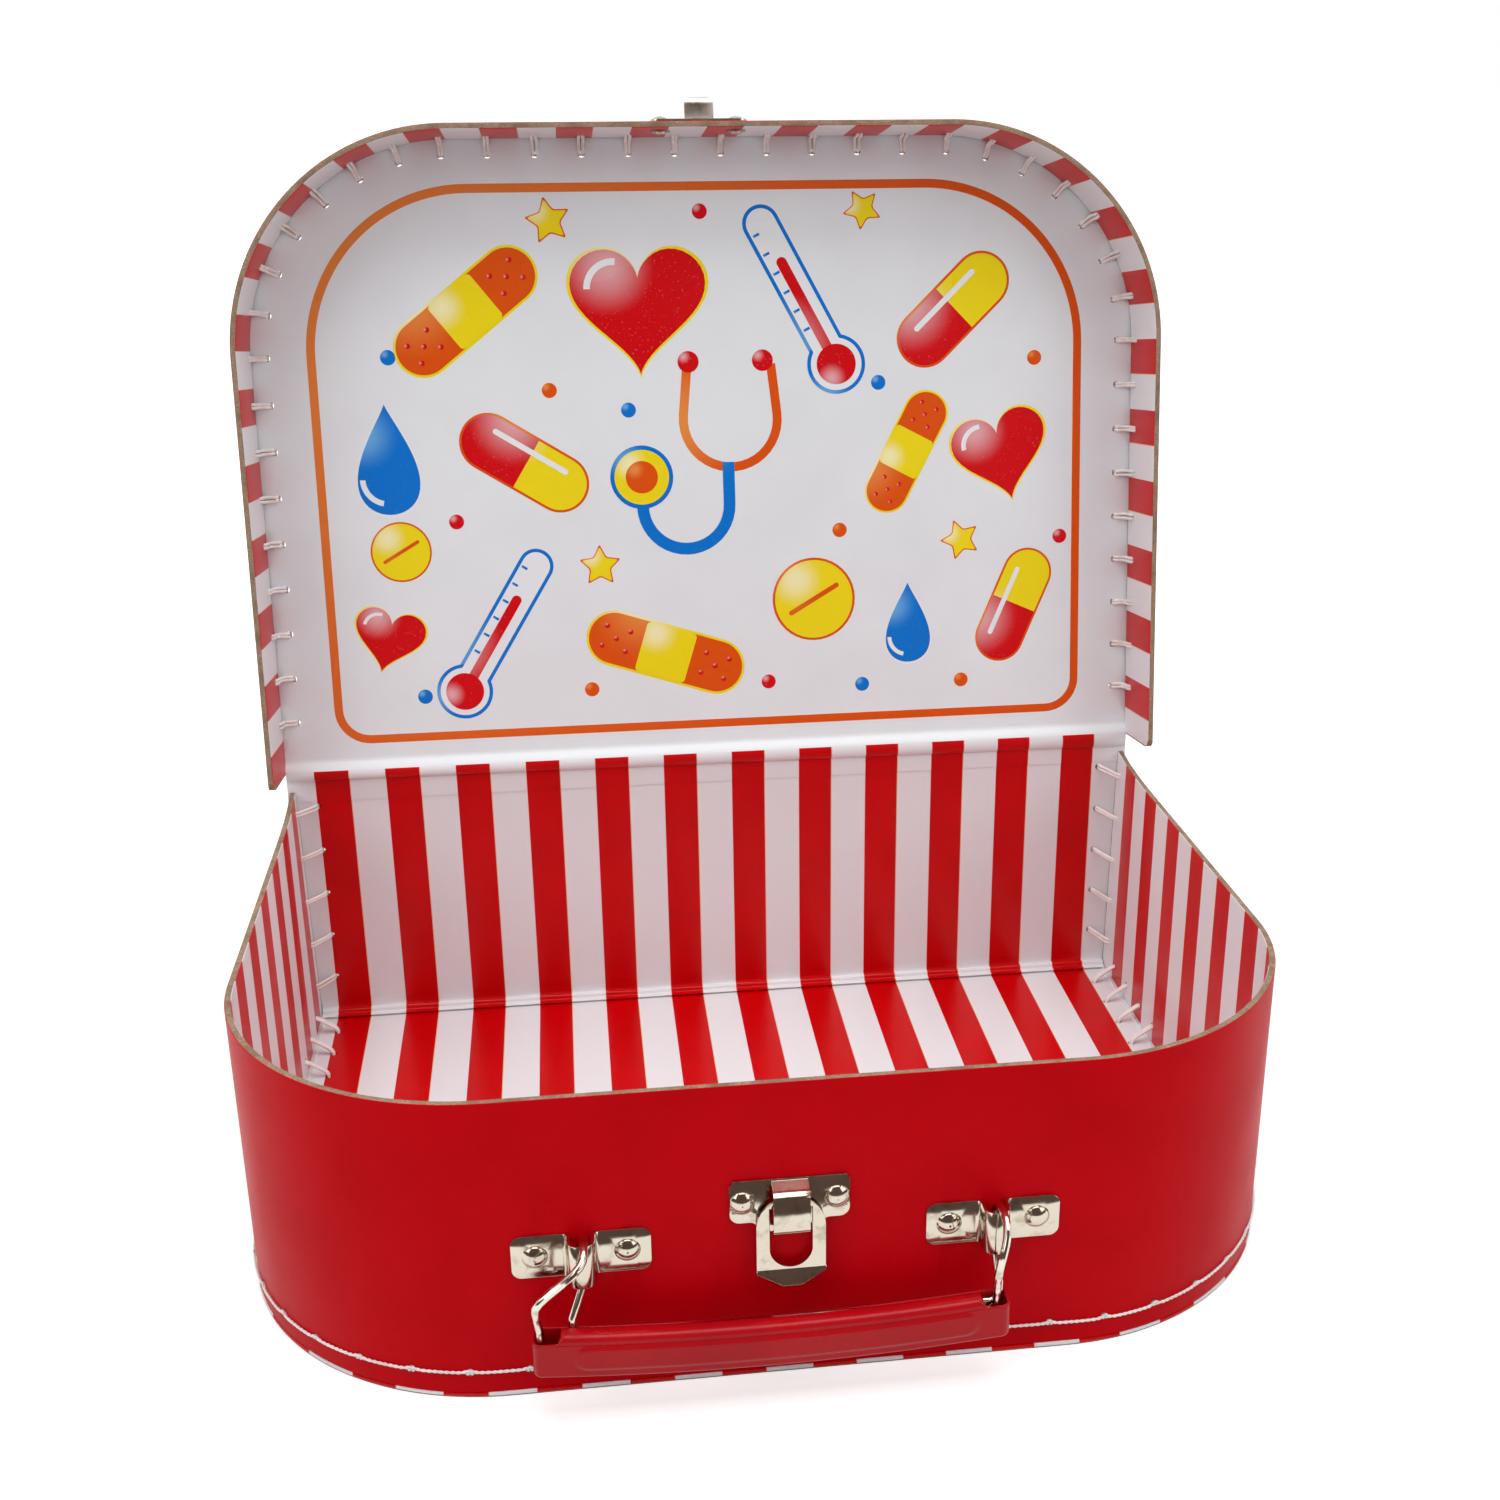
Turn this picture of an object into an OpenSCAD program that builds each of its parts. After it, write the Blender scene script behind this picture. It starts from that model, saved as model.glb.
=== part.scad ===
// Toy doctor case: a stitched paperboard suitcase with an open lid, a hasp latch and a carrying handle.
// Millimetres, +Z up, the front faces -Y, the origin is the middle of the base's underside.

/* [Base] */
// Width of the base board
case_w = 250; // [246:1:256]
// Depth of the base board, front to back
case_d = 180; // [174:1:188]
// Height of the base rim's top edge above the table
case_h = 72.5; // [71:0.5:76]
// Thickness of the paperboard
board_t = 1.6; // [1.5:0.05:1.8]
// How far the base board stands out beyond the rim
ledge = 1.5; // [1.2:0.1:1.8]
// Outer radius of the base rim's front corners
corner_r = 60; // [54:1:66]

/* [Lid] */
// Angle between the closed lid and the lid as it stands
lid_angle = 98.2; // [90:0.2:112]
// Gap between the rims along the sides of the closed case
side_gap = 1.4; // [1.3:0.1:1.8]
// Gap between the rims at the front of the closed case
front_gap = 2; // [1.9:0.1:2.4]
// Depth of the lid rim
lid_rim_h = 23; // [22.6:0.1:23.4]
// Outer radius of the lid rim's corners
lid_corner_r = 59; // [54:1:62]
// How far the lid board stands out beyond the lid rim
lid_ledge = 1; // [0.6:0.1:1.4]

/* [Stitching] */
// Distance from stitch to stitch
stitch_pitch = 12.8; // [12:0.1:13.4]
// Height of the thread line above the base's underside
stitch_h = 7.2; // [6:0.1:8]
// Distance of the board's stitch holes from the rim's inner face
stitch_in = 6; // [5:0.1:7]
// Distance of the lid board's stitch holes from the lid rim's inner face
lid_stitch_in = 5.4; // [4.8:0.1:6]
// Diameter of the thread
thread_d = 0.8; // [0.6:0.05:0.85]
// Diameter of the stitch holes
hole_d = 1.4; // [1.2:0.05:1.6]

/* [Latch] */
// Sideways place of the latch and handle row
hardware_x = -0.8; // [-2:0.1:2]
// Height of the latch plate's top edge
latch_top_z = 49.6; // [48:0.1:50]
// Width of the latch plate
latch_w = 25.8; // [24:0.1:28]
// Width of the tongue and of the lid's hook
tongue_w = 7.8; // [7:0.1:8]
// Width of the hasp
hasp_w = 15; // [14.6:0.1:15.6]
// Thickness of the sheet metal
metal_t = 0.8; // [0.7:0.05:0.85]

/* [Handle] */
// Distance between the two bracket centres
bracket_span = 89; // [86:0.5:92]
// Height of the bracket centres
bracket_z = 34.9; // [34:0.1:36]
// Width of each bracket over both wings
bracket_w = 29.6; // [28:0.1:31]
// Height of the bracket strip
bracket_h = 10.4; // [10:0.1:10.6]
// Diameter of the handle wire
wire_d = 1.8; // [1.6:0.05:1.85]
// Length of the grip
grip_l = 102; // [100:0.5:104]
// Height of the grip
grip_h = 10.2; // [10:0.1:11]
// Thickness of the grip, front to back
grip_t = 6.6; // [6.4:0.1:7]
// How far the grip hangs to the left of the brackets' middle
grip_shift = 4.6; // [4:0.1:4.8]

/* [Hidden] */

PAPER_RED = [0.75, 0.03, 0.08];
LINING = [0.86, 0.8, 0.8];
NICKEL = [0.78, 0.75, 0.7];
THREAD = [0.93, 0.88, 0.84];
LACQUER = [0.7, 0.1, 0.15];
cut = 0.02;
through = 20;

// Base
rim_half = case_w / 2 - ledge;
rim_front = -case_d / 2 + ledge;
back_out = case_d / 2;
back_in = back_out - board_t;
fold_r = 0.8;
fold_half = rim_half - board_t - 0.3;

// Hinge line and the lid in its own frame: closed, front towards -Y, the board's inner face at Z = 0
hinge_y = back_out - board_t / 2;
hinge_z = case_h + 1.2;
hinge_bead_r = 1.1;
hinge_gap = 0.3;
lid_half = rim_half + side_gap + board_t;
lid_front = rim_front - front_gap - board_t - hinge_y;
lid_rear = -5.2;
lid_end_r = 3;

// Stitching
base_stitches = 21;
lid_stitches = 21;
back_stitches = 5;
back_stitch_z0 = 13.5;
back_stitch_in = 5;
back_stitch_drop = 1.5;
lid_stitch_w = 5;
lid_line = board_t + lid_stitch_in;
thread_gap = 0.05;
thread_off = thread_d / 2 + thread_gap;
groove_h = thread_d + 2 * thread_gap;
base_line = board_t + stitch_in;

// Rivets
head_r = 2.8;
head_h = 1.3;
shank_r = 1.2;
rivet_hole_r = 1.25;
washer_r = 2.6;
washer_t = 0.4;
tail_r = 1.7;
tail_h = 0.5;

// Latch, measured outwards from the base rim's front face
latch_wing_h = 10.4;
latch_rivet_x = 10.2;
latch_rivet_z = latch_top_z - 5.5;
stem_half = 7;
stem_h = 2.6;
tongue_out = 5;
tongue_h = 12;
hasp_pivot_out = 2.5;
hasp_pivot_z = latch_top_z - 4.85;
hasp_bar = 2.9;
hasp_bar_drop = 1.2;
hasp_arch_z = hasp_pivot_z + hasp_bar / 2 - hasp_w / 2;
hasp_bend_z = 28;
hasp_window_r = hasp_w / 2 - hasp_bar;
hasp_lip = 3.6;
hasp_lip_angle = 45;

// Lid catch, its depths measured from the lid board's inner face
catch_w = 25.8;
catch_top = 10.4;
catch_h = 10.8;
catch_rivet_x = 10.2;
catch_rivet_w = 15.4;
hook_w = 7.7;
hook_out = 6.5;
hook_root = 20.2;
hook_tip = 15.7;

// Brackets and handle
bracket_rivet_x = 9.75;
nose_out = 6.2;
nose_r = 3;
wire_r = wire_d / 2;
ring_r = 7.75;
handle_y = rim_front - 9;
handle_z = bracket_z;
grip_top = 11.8;
grip_sag = 2.3;
grip_lower = 2.6;
grip_wall = 0.7;
grip_mouth = 4;
grip_slot = 2.7;
grip_x = hardware_x - grip_shift;
grip_z = handle_z - grip_top - grip_sag;
run_y = 1.55;
run_z = 15.9;
wire_reach = 1.75;
wire_turn = 2;
lean_from = 108;
lean_to = 194;
lean_power = 2.4;
left_slide = 0.6;
left_bow_out = 0.4;
left_leg_in = 3.1;
right_bow_in = 2.4;
right_leg_in = 1.2;

// Open outline with straight sides, a straight front and round front corners
module u_outline(half, front, r, rear) {
    translate([-half, front + r]) square([2 * half, rear - front - r]);
    translate([-half + r, front]) square([2 * (half - r), r + cut]);
    for (side = [-1, 1]) {
        translate([side * (half - r), front + r]) circle(r, $fn = 120);
    }
}

// Wall that follows the outline, its outer face on it
module u_wall(half, front, r, rear, t) {
    difference() {
        u_outline(half, front, r, rear);
        u_outline(half - t, front + t, r - t, rear + 1);
    }
}

// Point on that outline at distance d along it from the middle of the front, to the right
function u_turn(half, r, d) = min(max((abs(d) - (half - r)) / r * 180 / PI, 0), 90);
function u_side(half, r, d) = max(abs(d) - (half - r) - r * PI / 2, 0);
function u_point(half, front, r, d) =
    let (turn = u_turn(half, r, d), side = d < 0 ? -1 : 1, flat = min(abs(d), half - r))
    [side * (flat + r * sin(turn)), front + r * (1 - cos(turn)) + u_side(half, r, d)];
function u_normal(half, r, d) =
    let (turn = u_turn(half, r, d), side = d < 0 ? -1 : 1)
    [side * sin(turn), -cos(turn)];

// Point out from the outline along its normal, at height z
function u_place(half, front, r, d, out, z) =
    let (p = u_point(half, front, r, d), n = u_normal(half, r, d))
    [p[0] + out * n[0], p[1] + out * n[1], z];

// Distances of a row of stitches to both sides of the middle
function stitch_row(count) = [for (k = [-count : count - 1]) (k + 0.5) * stitch_pitch];

// Tube swept along points, with a frame carried from point to point
function unit(v) = v / norm(v);
function tangent(path, i) = unit(path[min(i + 1, len(path) - 1)] - path[max(i - 1, 0)]);
function square_to(v, t) = unit(v - (v * t) * t);
function ring_points(p, t, n, r, sides) =
    [for (j = [0 : sides - 1]) p + r * (cos(360 * j / sides) * n + sin(360 * j / sides) * cross(t, n))];

module tube(path, r, start, sides = 6) {
    last = len(path) - 1;
    normals = [for (i = 0, n = square_to(start, tangent(path, 0)); i <= last;
        i = i + 1, n = square_to(n, tangent(path, min(i, last)))) n];
    rings = [for (i = [0 : last], p = ring_points(path[i], tangent(path, i), normals[i], r, sides)) p];
    walls = [for (i = [0 : last - 1], j = [0 : sides - 1], k = [0, 1])
        let (a = i * sides + j, b = i * sides + (j + 1) % sides, c = b + sides, d = a + sides)
        k == 0 ? [a, d, c] : [a, c, b]];
    caps = [[for (j = [0 : sides - 1]) j], [for (j = [sides - 1 : -1 : 0]) last * sides + j]];
    polyhedron(rings, concat(walls, caps), convexity = 6);
}

// Base board: bottom, back wall and the rounded crease that the lid folds on
module base_board() {
    color(LINING)
    difference() {
        union() {
            linear_extrude(board_t) u_outline(case_w / 2, -case_d / 2, corner_r + ledge, back_out - board_t);
            translate([-case_w / 2, back_in, board_t]) cube([case_w, board_t, hinge_z - board_t]);
            intersection() {
                translate([-case_w / 2, back_in, board_t])
                    rotate([0, 90, 0]) cylinder(r = board_t, h = case_w, $fn = 48);
                translate([-case_w, back_in - cut, -1]) cube([2 * case_w, 2 * board_t, board_t + 1 + cut]);
            }
            translate([-fold_half, back_in - 0.2, board_t + 0.1])
                rotate([0, 90, 0]) cylinder(r = fold_r, h = 2 * fold_half, $fn = 32);
            translate([-case_w / 2, hinge_y, hinge_z])
                rotate([0, 90, 0]) cylinder(r = hinge_bead_r, h = case_w, $fn = 48);
        }
        base_groove();
        for (d = stitch_row(base_stitches)) {
            translate(u_place(rim_half, rim_front, corner_r, d, -base_line, 0))
                cylinder(h = through, d = hole_d, center = true, $fn = 24);
        }
        for (side = [-1, 1], k = [0 : back_stitches - 1]) {
            translate([side * (rim_half - board_t - back_stitch_in), back_in, back_z(k)])
                rotate([90, 0, 0]) cylinder(h = through, d = hole_d, center = true, $fn = 24);
        }
    }
}

// Groove that the drawn thread presses into the underside
module base_groove() {
    line = base_line - (thread_d / 2 + thread_gap);
    rear = u_point(rim_half, rim_front, corner_r, (base_stitches - 0.5) * stitch_pitch)[1] + hole_d / 2;
    translate([0, 0, -cut]) linear_extrude(groove_h + cut) intersection() {
        u_wall(rim_half - line, rim_front + line, corner_r - line, rear + 1, thread_d + 2 * thread_gap);
        translate([-case_w / 2, -case_d / 2]) square([case_w, rear + case_d / 2]);
    }
}

function back_z(k) = back_stitch_z0 + k * stitch_pitch;

// Base rim: the strip bent round the front and sides
module base_rim() {
    color(PAPER_RED)
    difference() {
        translate([0, 0, board_t]) linear_extrude(case_h - board_t)
            u_wall(rim_half, rim_front, corner_r, back_in, board_t);
        for (d = stitch_row(base_stitches)) {
            rim_hole(rim_half, rim_front, corner_r, d, stitch_h);
        }
        for (side = [-1, 1], k = [0 : back_stitches - 1]) {
            translate([side * rim_half, back_in - back_stitch_in, back_z(k) - back_stitch_drop])
                rotate([0, 90, 0]) cylinder(h = 3 * board_t, d = hole_d, center = true, $fn = 24);
        }
        at_front_rivets() cylinder(h = through, r = rivet_hole_r, center = true, $fn = 32);
    }
}

// Hole square through a bent strip
module rim_hole(half, front, r, d, z) {
    n = u_normal(half, r, d);
    translate(u_place(half, front, r, d, 0, z)) rotate([0, 90, atan2(n[1], n[0])])
        cylinder(h = 3 * board_t, d = hole_d, center = true, $fn = 24);
}

// The lid's own frame, swung open
module in_lid() {
    translate([0, hinge_y, hinge_z]) rotate([-lid_angle, 0, 0]) children();
}

// Lid board: the panel, narrower where it meets the crease
module lid_board() {
    color(LINING) in_lid() difference() {
        union() {
            linear_extrude(board_t)
                u_outline(lid_half + lid_ledge, lid_front - lid_ledge, lid_corner_r + lid_ledge, lid_rear);
            translate([-case_w / 2, lid_rear - cut, 0])
                cube([case_w, -lid_rear - hinge_bead_r - hinge_gap + cut, board_t]);
        }
        for (d = stitch_row(lid_stitches)) {
            translate(u_place(lid_half, lid_front, lid_corner_r, d, -lid_line, 0))
                cylinder(h = through, d = hole_d, center = true, $fn = 24);
        }
    }
}

// Lid rim: a shallower bent strip with rounded free ends
module lid_rim() {
    color(PAPER_RED) in_lid() difference() {
        translate([0, 0, -lid_rim_h]) linear_extrude(lid_rim_h)
            u_wall(lid_half, lid_front, lid_corner_r, lid_rear, board_t);
        for (d = stitch_row(lid_stitches)) {
            rim_hole(lid_half, lid_front, lid_corner_r, d, -lid_stitch_w);
        }
        at_catch_rivets() cylinder(h = through, r = rivet_hole_r, center = true, $fn = 32);
        translate([-case_w, lid_rear - lid_end_r, lid_end_r - lid_rim_h]) rotate([0, 90, 0]) difference() {
            cube([lid_end_r + 1, lid_end_r + 1, 2 * case_w]);
            cylinder(r = lid_end_r, h = 2 * case_w, $fn = 48);
        }
    }
}

// Stitch across a base corner: out of the rim, down inside, through the board
module base_corner_stitches() {
    color(THREAD) for (d = stitch_row(base_stitches)) {
        n = u_normal(rim_half, corner_r, d);
        path = [for (q = [[0, stitch_h], [-board_t, stitch_h], [-board_t - 0.7, stitch_h - 0.4],
            [-base_line + 0.5, board_t + 0.6], [-base_line, board_t], [-base_line, groove_h + thread_gap]])
            u_place(rim_half, rim_front, corner_r, d, q[0], q[1])];
        tube(path, thread_d / 2, [-n[1], n[0], 0]);
    }
}

// Thread line on a rim's outer face or on a board, as one tube
module thread_line(half, front, r, count, out, z) {
    reach = (count - 0.5) * stitch_pitch;
    steps = 4 * count - 2;
    path = [for (i = [0 : steps]) u_place(half, front, r, -reach + 2 * reach * i / steps, out, z)];
    tube(path, thread_d / 2, [0, 0, 1]);
}

module base_rim_thread() {
    color(THREAD) thread_line(rim_half, rim_front, corner_r, base_stitches, thread_off, stitch_h);
}

module base_underside_thread() {
    color(THREAD) thread_line(rim_half, rim_front, corner_r, base_stitches, -base_line, thread_off);
}

// Stitches up the two back corners
module back_corner_stitches() {
    inner = rim_half - board_t;
    color(THREAD) for (side = [-1, 1], k = [0 : back_stitches - 1]) {
        path = [for (q = [[rim_half, -back_stitch_in, 1], [inner, -back_stitch_in, 1],
            [inner - 0.6, -back_stitch_in + 0.3, 0.95], [inner - back_stitch_in + 0.3, -0.6, 0.05],
            [inner - back_stitch_in, 0, 0], [inner - back_stitch_in, board_t, 0]])
            [side * q[0], back_in + q[1], back_z(k) - back_stitch_drop * q[2]]];
        tube(path, thread_d / 2, [0, 0, 1]);
    }
}

// Upright thread lines outside the back corners, two on the sides and two on the back
module back_corner_threads() {
    lines = [[rim_half + thread_off, back_in - back_stitch_in],
        [rim_half - board_t - back_stitch_in, back_out + thread_off]];
    color(THREAD) for (side = [-1, 1], q = lines) {
        translate([side * q[0], q[1], back_z(0) - 2])
            cylinder(h = back_z(back_stitches - 1) - back_z(0) + 3, d = thread_d, $fn = 24);
    }
}

// Stitches of the lid, pressed into the corner where the base rim closes
module lid_corner_stitches() {
    color(THREAD) in_lid() for (d = stitch_row(lid_stitches)) {
        n = u_normal(lid_half, lid_corner_r, d);
        path = [for (q = [[0, -lid_stitch_w], [-board_t, -lid_stitch_w],
            [-board_t - thread_off, -lid_stitch_w + 0.7], [-board_t - thread_off, -1.5],
            [-board_t - 1.1, -thread_off], [-lid_line + 0.7, -thread_off], [-lid_line, 0.1],
            [-lid_line, board_t]]) u_place(lid_half, lid_front, lid_corner_r, d, q[0], q[1])];
        tube(path, thread_d / 2, [-n[1], n[0], 0]);
    }
}

module lid_rim_thread() {
    color(THREAD) in_lid()
        thread_line(lid_half, lid_front, lid_corner_r, lid_stitches, thread_off, -lid_stitch_w);
}

module lid_top_thread() {
    color(THREAD) in_lid()
        thread_line(lid_half, lid_front, lid_corner_r, lid_stitches, -lid_line, board_t + thread_off);
}

// Frame on the base rim's front face: children lie in X and Z and grow outwards, towards -Y
module on_front(x, z) {
    translate([x, rim_front, z]) rotate([90, 0, 0]) children();
}

// Places of the front rivets, +Z outwards
module at_latch_rivets() {
    for (side = [-1, 1]) {
        on_front(hardware_x + side * latch_rivet_x, latch_rivet_z) children();
    }
}

module at_bracket_rivets() {
    for (side = [-1, 1], wing = [-1, 1]) {
        on_front(hardware_x + side * bracket_span / 2 + wing * bracket_rivet_x, bracket_z) children();
    }
}

module at_front_rivets() {
    at_latch_rivets() children();
    at_bracket_rivets() children();
}

// Places of the two catch rivets in the lid's frame, +Z outwards
module at_catch_rivets() {
    for (side = [-1, 1]) {
        translate([hardware_x + side * catch_rivet_x, lid_front, -catch_rivet_w]) rotate([90, 0, 0]) children();
    }
}

// Rectangle with round corners
module rounded(w, h, r) {
    translate([-w / 2 + r, -h / 2]) square([w - 2 * r, h]);
    translate([-w / 2, -h / 2 + r]) square([w, h - 2 * r]);
    for (x = [-1, 1], y = [-1, 1]) {
        translate([x * (w / 2 - r), y * (h / 2 - r)]) circle(r, $fn = 32);
    }
}

// Dome-headed rivet through a plate and the board, its tail spread inside
module rivet() {
    dome_r = (head_r * head_r + head_h * head_h) / (2 * head_h);
    inside = board_t + washer_t;
    translate([0, 0, metal_t]) rotate_extrude($fn = 48) intersection() {
        translate([0, head_h - dome_r]) circle(dome_r, $fn = 96);
        square([head_r, head_h]);
    }
    translate([0, 0, -inside - tail_h]) cylinder(h = inside + tail_h + metal_t + cut, r = shank_r, $fn = 32);
    translate([0, 0, -inside - tail_h]) cylinder(h = tail_h, r1 = tail_r - 0.3, r2 = tail_r, $fn = 32);
}

module washer() {
    translate([0, 0, -board_t - washer_t]) difference() {
        cylinder(h = washer_t, r = washer_r, $fn = 32);
        cylinder(h = through, r = rivet_hole_r, center = true, $fn = 32);
    }
}

// Filling of the corner below a wing, its round edge towards the side
module fillet(side, r) {
    difference() {
        translate([side > 0 ? -cut : -r, -r]) square([r + cut, r + cut]);
        translate([side * r, -r]) circle(r, $fn = 32);
    }
}

// Latch plate: a T of sheet metal with the tongue bent out of it
module latch_plate() {
    color(NICKEL)
    difference() {
        union() {
            difference() {
                on_front(hardware_x, latch_top_z) linear_extrude(metal_t) union() {
                    translate([0, -latch_wing_h / 2]) rounded(latch_w, latch_wing_h, 2.2);
                    translate([-latch_w / 2, -2.4]) square([latch_w, 1.4]);
                    translate([-latch_w / 2 + 0.6, -0.7 - 0.6]) square([latch_w - 1.2, 1.3]);
                    translate([-stem_half, -latch_wing_h - stem_h]) square([2 * stem_half, stem_h + 2]);
                    for (side = [-1, 1]) {
                        translate([side * stem_half, -latch_wing_h]) fillet(side, 1.6);
                    }
                }
                on_front(hardware_x, latch_top_z - 6.3) linear_extrude(3, center = true)
                    rounded(tongue_w + 0.8, 10, 0.8);
            }
            translate([hardware_x - tongue_w / 2, rim_front, latch_top_z]) rotate([90, 0, 90])
                linear_extrude(tongue_w) tongue_profile();
        }
        at_latch_rivets() cylinder(h = through, r = rivet_hole_r, center = true, $fn = 32);
    }
}

// Side view of the tongue: out from the plate's top band, down, and back in at its lower end
module tongue_profile() {
    o = tongue_out;
    t = metal_t;
    h = tongue_h;
    polygon([[0, -0.4], [-t, -0.4], [1.2 - o, -1], [0.3 - o, -1.7], [-o, -2.8], [-o, 1.9 - h], [0.4 - o, 0.8 - h],
        [1.2 - o, 0.1 - h], [2 - o, -h], [2 - o, t - h], [1.5 - o, 0.9 - h], [1 - o, 1.3 - h], [t - o, 2.1 - h],
        [t - o, -3], [1.1 - o, -2.4], [1.7 - o, -1.9], [-t, -1.3], [0, -1.3]]);
}

// Hasp: an arched ring that hangs on the tongue, with a pointed lip turned outwards
module latch_hasp() {
    plate_out = hasp_pivot_out - metal_t / 2;
    window_low = hasp_bend_z + 0.8 + hasp_window_r;
    color(NICKEL) union() {
        translate([0, -plate_out, 0]) on_front(hardware_x, 0) linear_extrude(metal_t) difference() {
            union() {
                translate([0, hasp_arch_z]) circle(hasp_w / 2, $fn = 64);
                translate([-hasp_w / 2, hasp_bend_z]) square([hasp_w, hasp_arch_z - hasp_bend_z]);
            }
            translate([0, window_low]) circle(hasp_window_r, $fn = 48);
            translate([-hasp_window_r, window_low])
                square([2 * hasp_window_r, hasp_pivot_z - hasp_bar_drop - window_low]);
        }
        translate([hardware_x, rim_front - hasp_pivot_out, hasp_bend_z]) {
            rotate([0, 90, 0]) cylinder(h = hasp_w, d = metal_t, center = true, $fn = 24);
            rotate([90 - hasp_lip_angle, 0, 0]) linear_extrude(metal_t, center = true)
                polygon([[-hasp_w / 2, 0], [-hasp_w / 2, -0.9], [-2, -hasp_lip], [2, -hasp_lip],
                    [hasp_w / 2, -0.9], [hasp_w / 2, 0]]);
        }
    }
}

// Bracket: a strip with two flat wings and a round nose that the handle wire runs behind
module bracket(x) {
    color(NICKEL)
    difference() {
        intersection() {
            translate([x, rim_front, bracket_z - bracket_h / 2]) linear_extrude(bracket_h) bracket_plan();
            translate([0, 1, 0]) on_front(x, bracket_z) linear_extrude(nose_out + 2)
                rounded(bracket_w, bracket_h, 2.2);
        }
        at_bracket_rivets() cylinder(h = through, r = rivet_hole_r, center = true, $fn = 32);
    }
}

// Top view of the bracket strip
module bracket_plan() {
    nose_y = nose_r - nose_out;
    difference() {
        union() {
            translate([-bracket_w / 2, -metal_t]) square([bracket_w, metal_t]);
            translate([-nose_r, nose_y]) square([2 * nose_r, -nose_y]);
            translate([0, nose_y]) circle(nose_r, $fn = 48);
            translate([-nose_r - 1, -metal_t - 1]) square([2 * nose_r + 2, 1 + cut]);
        }
        for (side = [-1, 1]) {
            translate([side * (nose_r + 1), -metal_t - 1]) circle(1, $fn = 32);
        }
        translate([metal_t - nose_r, nose_y]) square([2 * (nose_r - metal_t), 1 - nose_y]);
        translate([0, nose_y]) circle(nose_r - metal_t, $fn = 48);
    }
}

module handle_bracket_left() {
    bracket(hardware_x - bracket_span / 2);
}

module handle_bracket_right() {
    bracket(hardware_x + bracket_span / 2);
}

// Handle wire: one wire, a round bow through each bracket and two runs inside the grip
function reversed(list) = [for (i = [len(list) - 1 : -1 : 0]) list[i]];
function leg_top() = 0.6 - grip_top;
function bow_end() = atan2(leg_top(), run_y) + acos(ring_r / norm([run_y, leg_top()]));
function bow_lean(a) =
    pow(sin(90 * min(max(a - lean_from, 0) / (lean_to - lean_from), 1)), lean_power);
function bow(x, front_x, steps) = [for (i = [0 : steps])
    let (a = 180 - bow_end() - i * (180 - 2 * bow_end()) / steps)
    [x + (front_x - x) * bow_lean(a), handle_y + ring_r * cos(a), handle_z + ring_r * sin(a)]];
function leg(x, dir, y, steps = 4) = concat([[x, y, handle_z + leg_top()]], [for (i = [0 : steps])
    let (a = 90 * i / steps)
    [x - dir * wire_turn * (1 - cos(a)), y, handle_z - run_z + wire_turn * (1 - sin(a))]]);
function wire_end(ring_x, bow_x, front_x, rear_x, dir) = concat(
    reversed(leg(front_x, dir, handle_y - run_y)),
    bow(ring_x, bow_x, 26),
    leg(rear_x, dir, handle_y + run_y));

module handle_wire() {
    left_ring = hardware_x - bracket_span / 2 + left_slide;
    right_ring = hardware_x + bracket_span / 2;
    left_end = grip_x - grip_l / 2 + wire_reach;
    right_end = grip_x + grip_l / 2 - wire_reach;
    mid = [grip_x, handle_y + run_y, handle_z - run_z];
    path = concat([mid + [-wire_r / 3, 0, 0]],
        reversed(wire_end(left_ring, left_end - left_bow_out, left_end, left_ring - left_leg_in, -1)),
        wire_end(right_ring, right_end - right_bow_in, right_end - right_leg_in, right_end, 1),
        [mid + [wire_r / 3, 0, 0]]);
    color(NICKEL) tube(path, wire_r, [0, 0, 1], 10);
}

// Outline of the grip from the front, bowed downwards, drawn in by inset
module grip_face(inset) {
    bow_r = (grip_l * grip_l / 4 + grip_sag * grip_sag) / (2 * grip_sag);
    intersection() {
        translate([0, bow_r]) circle(bow_r + grip_h - inset, $fn = 360);
        translate([-grip_l / 2 + inset, -grip_h - 1]) square([grip_l - 2 * inset, grip_h + grip_sag + 4]);
        difference() {
            translate([-grip_l, -2 * grip_h]) square([2 * grip_l, 4 * grip_h]);
            translate([0, bow_r]) circle(bow_r + inset, $fn = 360);
        }
    }
}

// Top view of the grip, drawn in by inset
module grip_plan(inset) {
    rounded(grip_l - 2 * inset, grip_t - 2 * inset, 1.8 - inset);
}

module grip_block(inset) {
    intersection() {
        translate([grip_x, handle_y, grip_z]) rotate([90, 0, 0])
            linear_extrude(grip_t + 2, center = true) grip_face(inset);
        translate([grip_x, handle_y, 0]) linear_extrude(handle_z) grip_plan(inset);
    }
}

// Grip: a pressed sheet-metal channel whose front lip is folded back over the wire
module handle_grip() {
    color(LACQUER) difference() {
        grip_block(0);
        grip_block(grip_wall);
        translate([grip_x, handle_y, grip_z - grip_lower]) linear_extrude(handle_z) union() {
            intersection() {
                grip_plan(grip_wall);
                for (side = [-1, 1]) {
                    translate([side * grip_l / 2, 0]) square([2 * grip_mouth, grip_t], center = true);
                }
            }
            translate([grip_wall - grip_l / 2, grip_t / 2 - grip_slot])
                square([grip_l - 2 * grip_wall, grip_slot + 1]);
        }
    }
}

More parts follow.
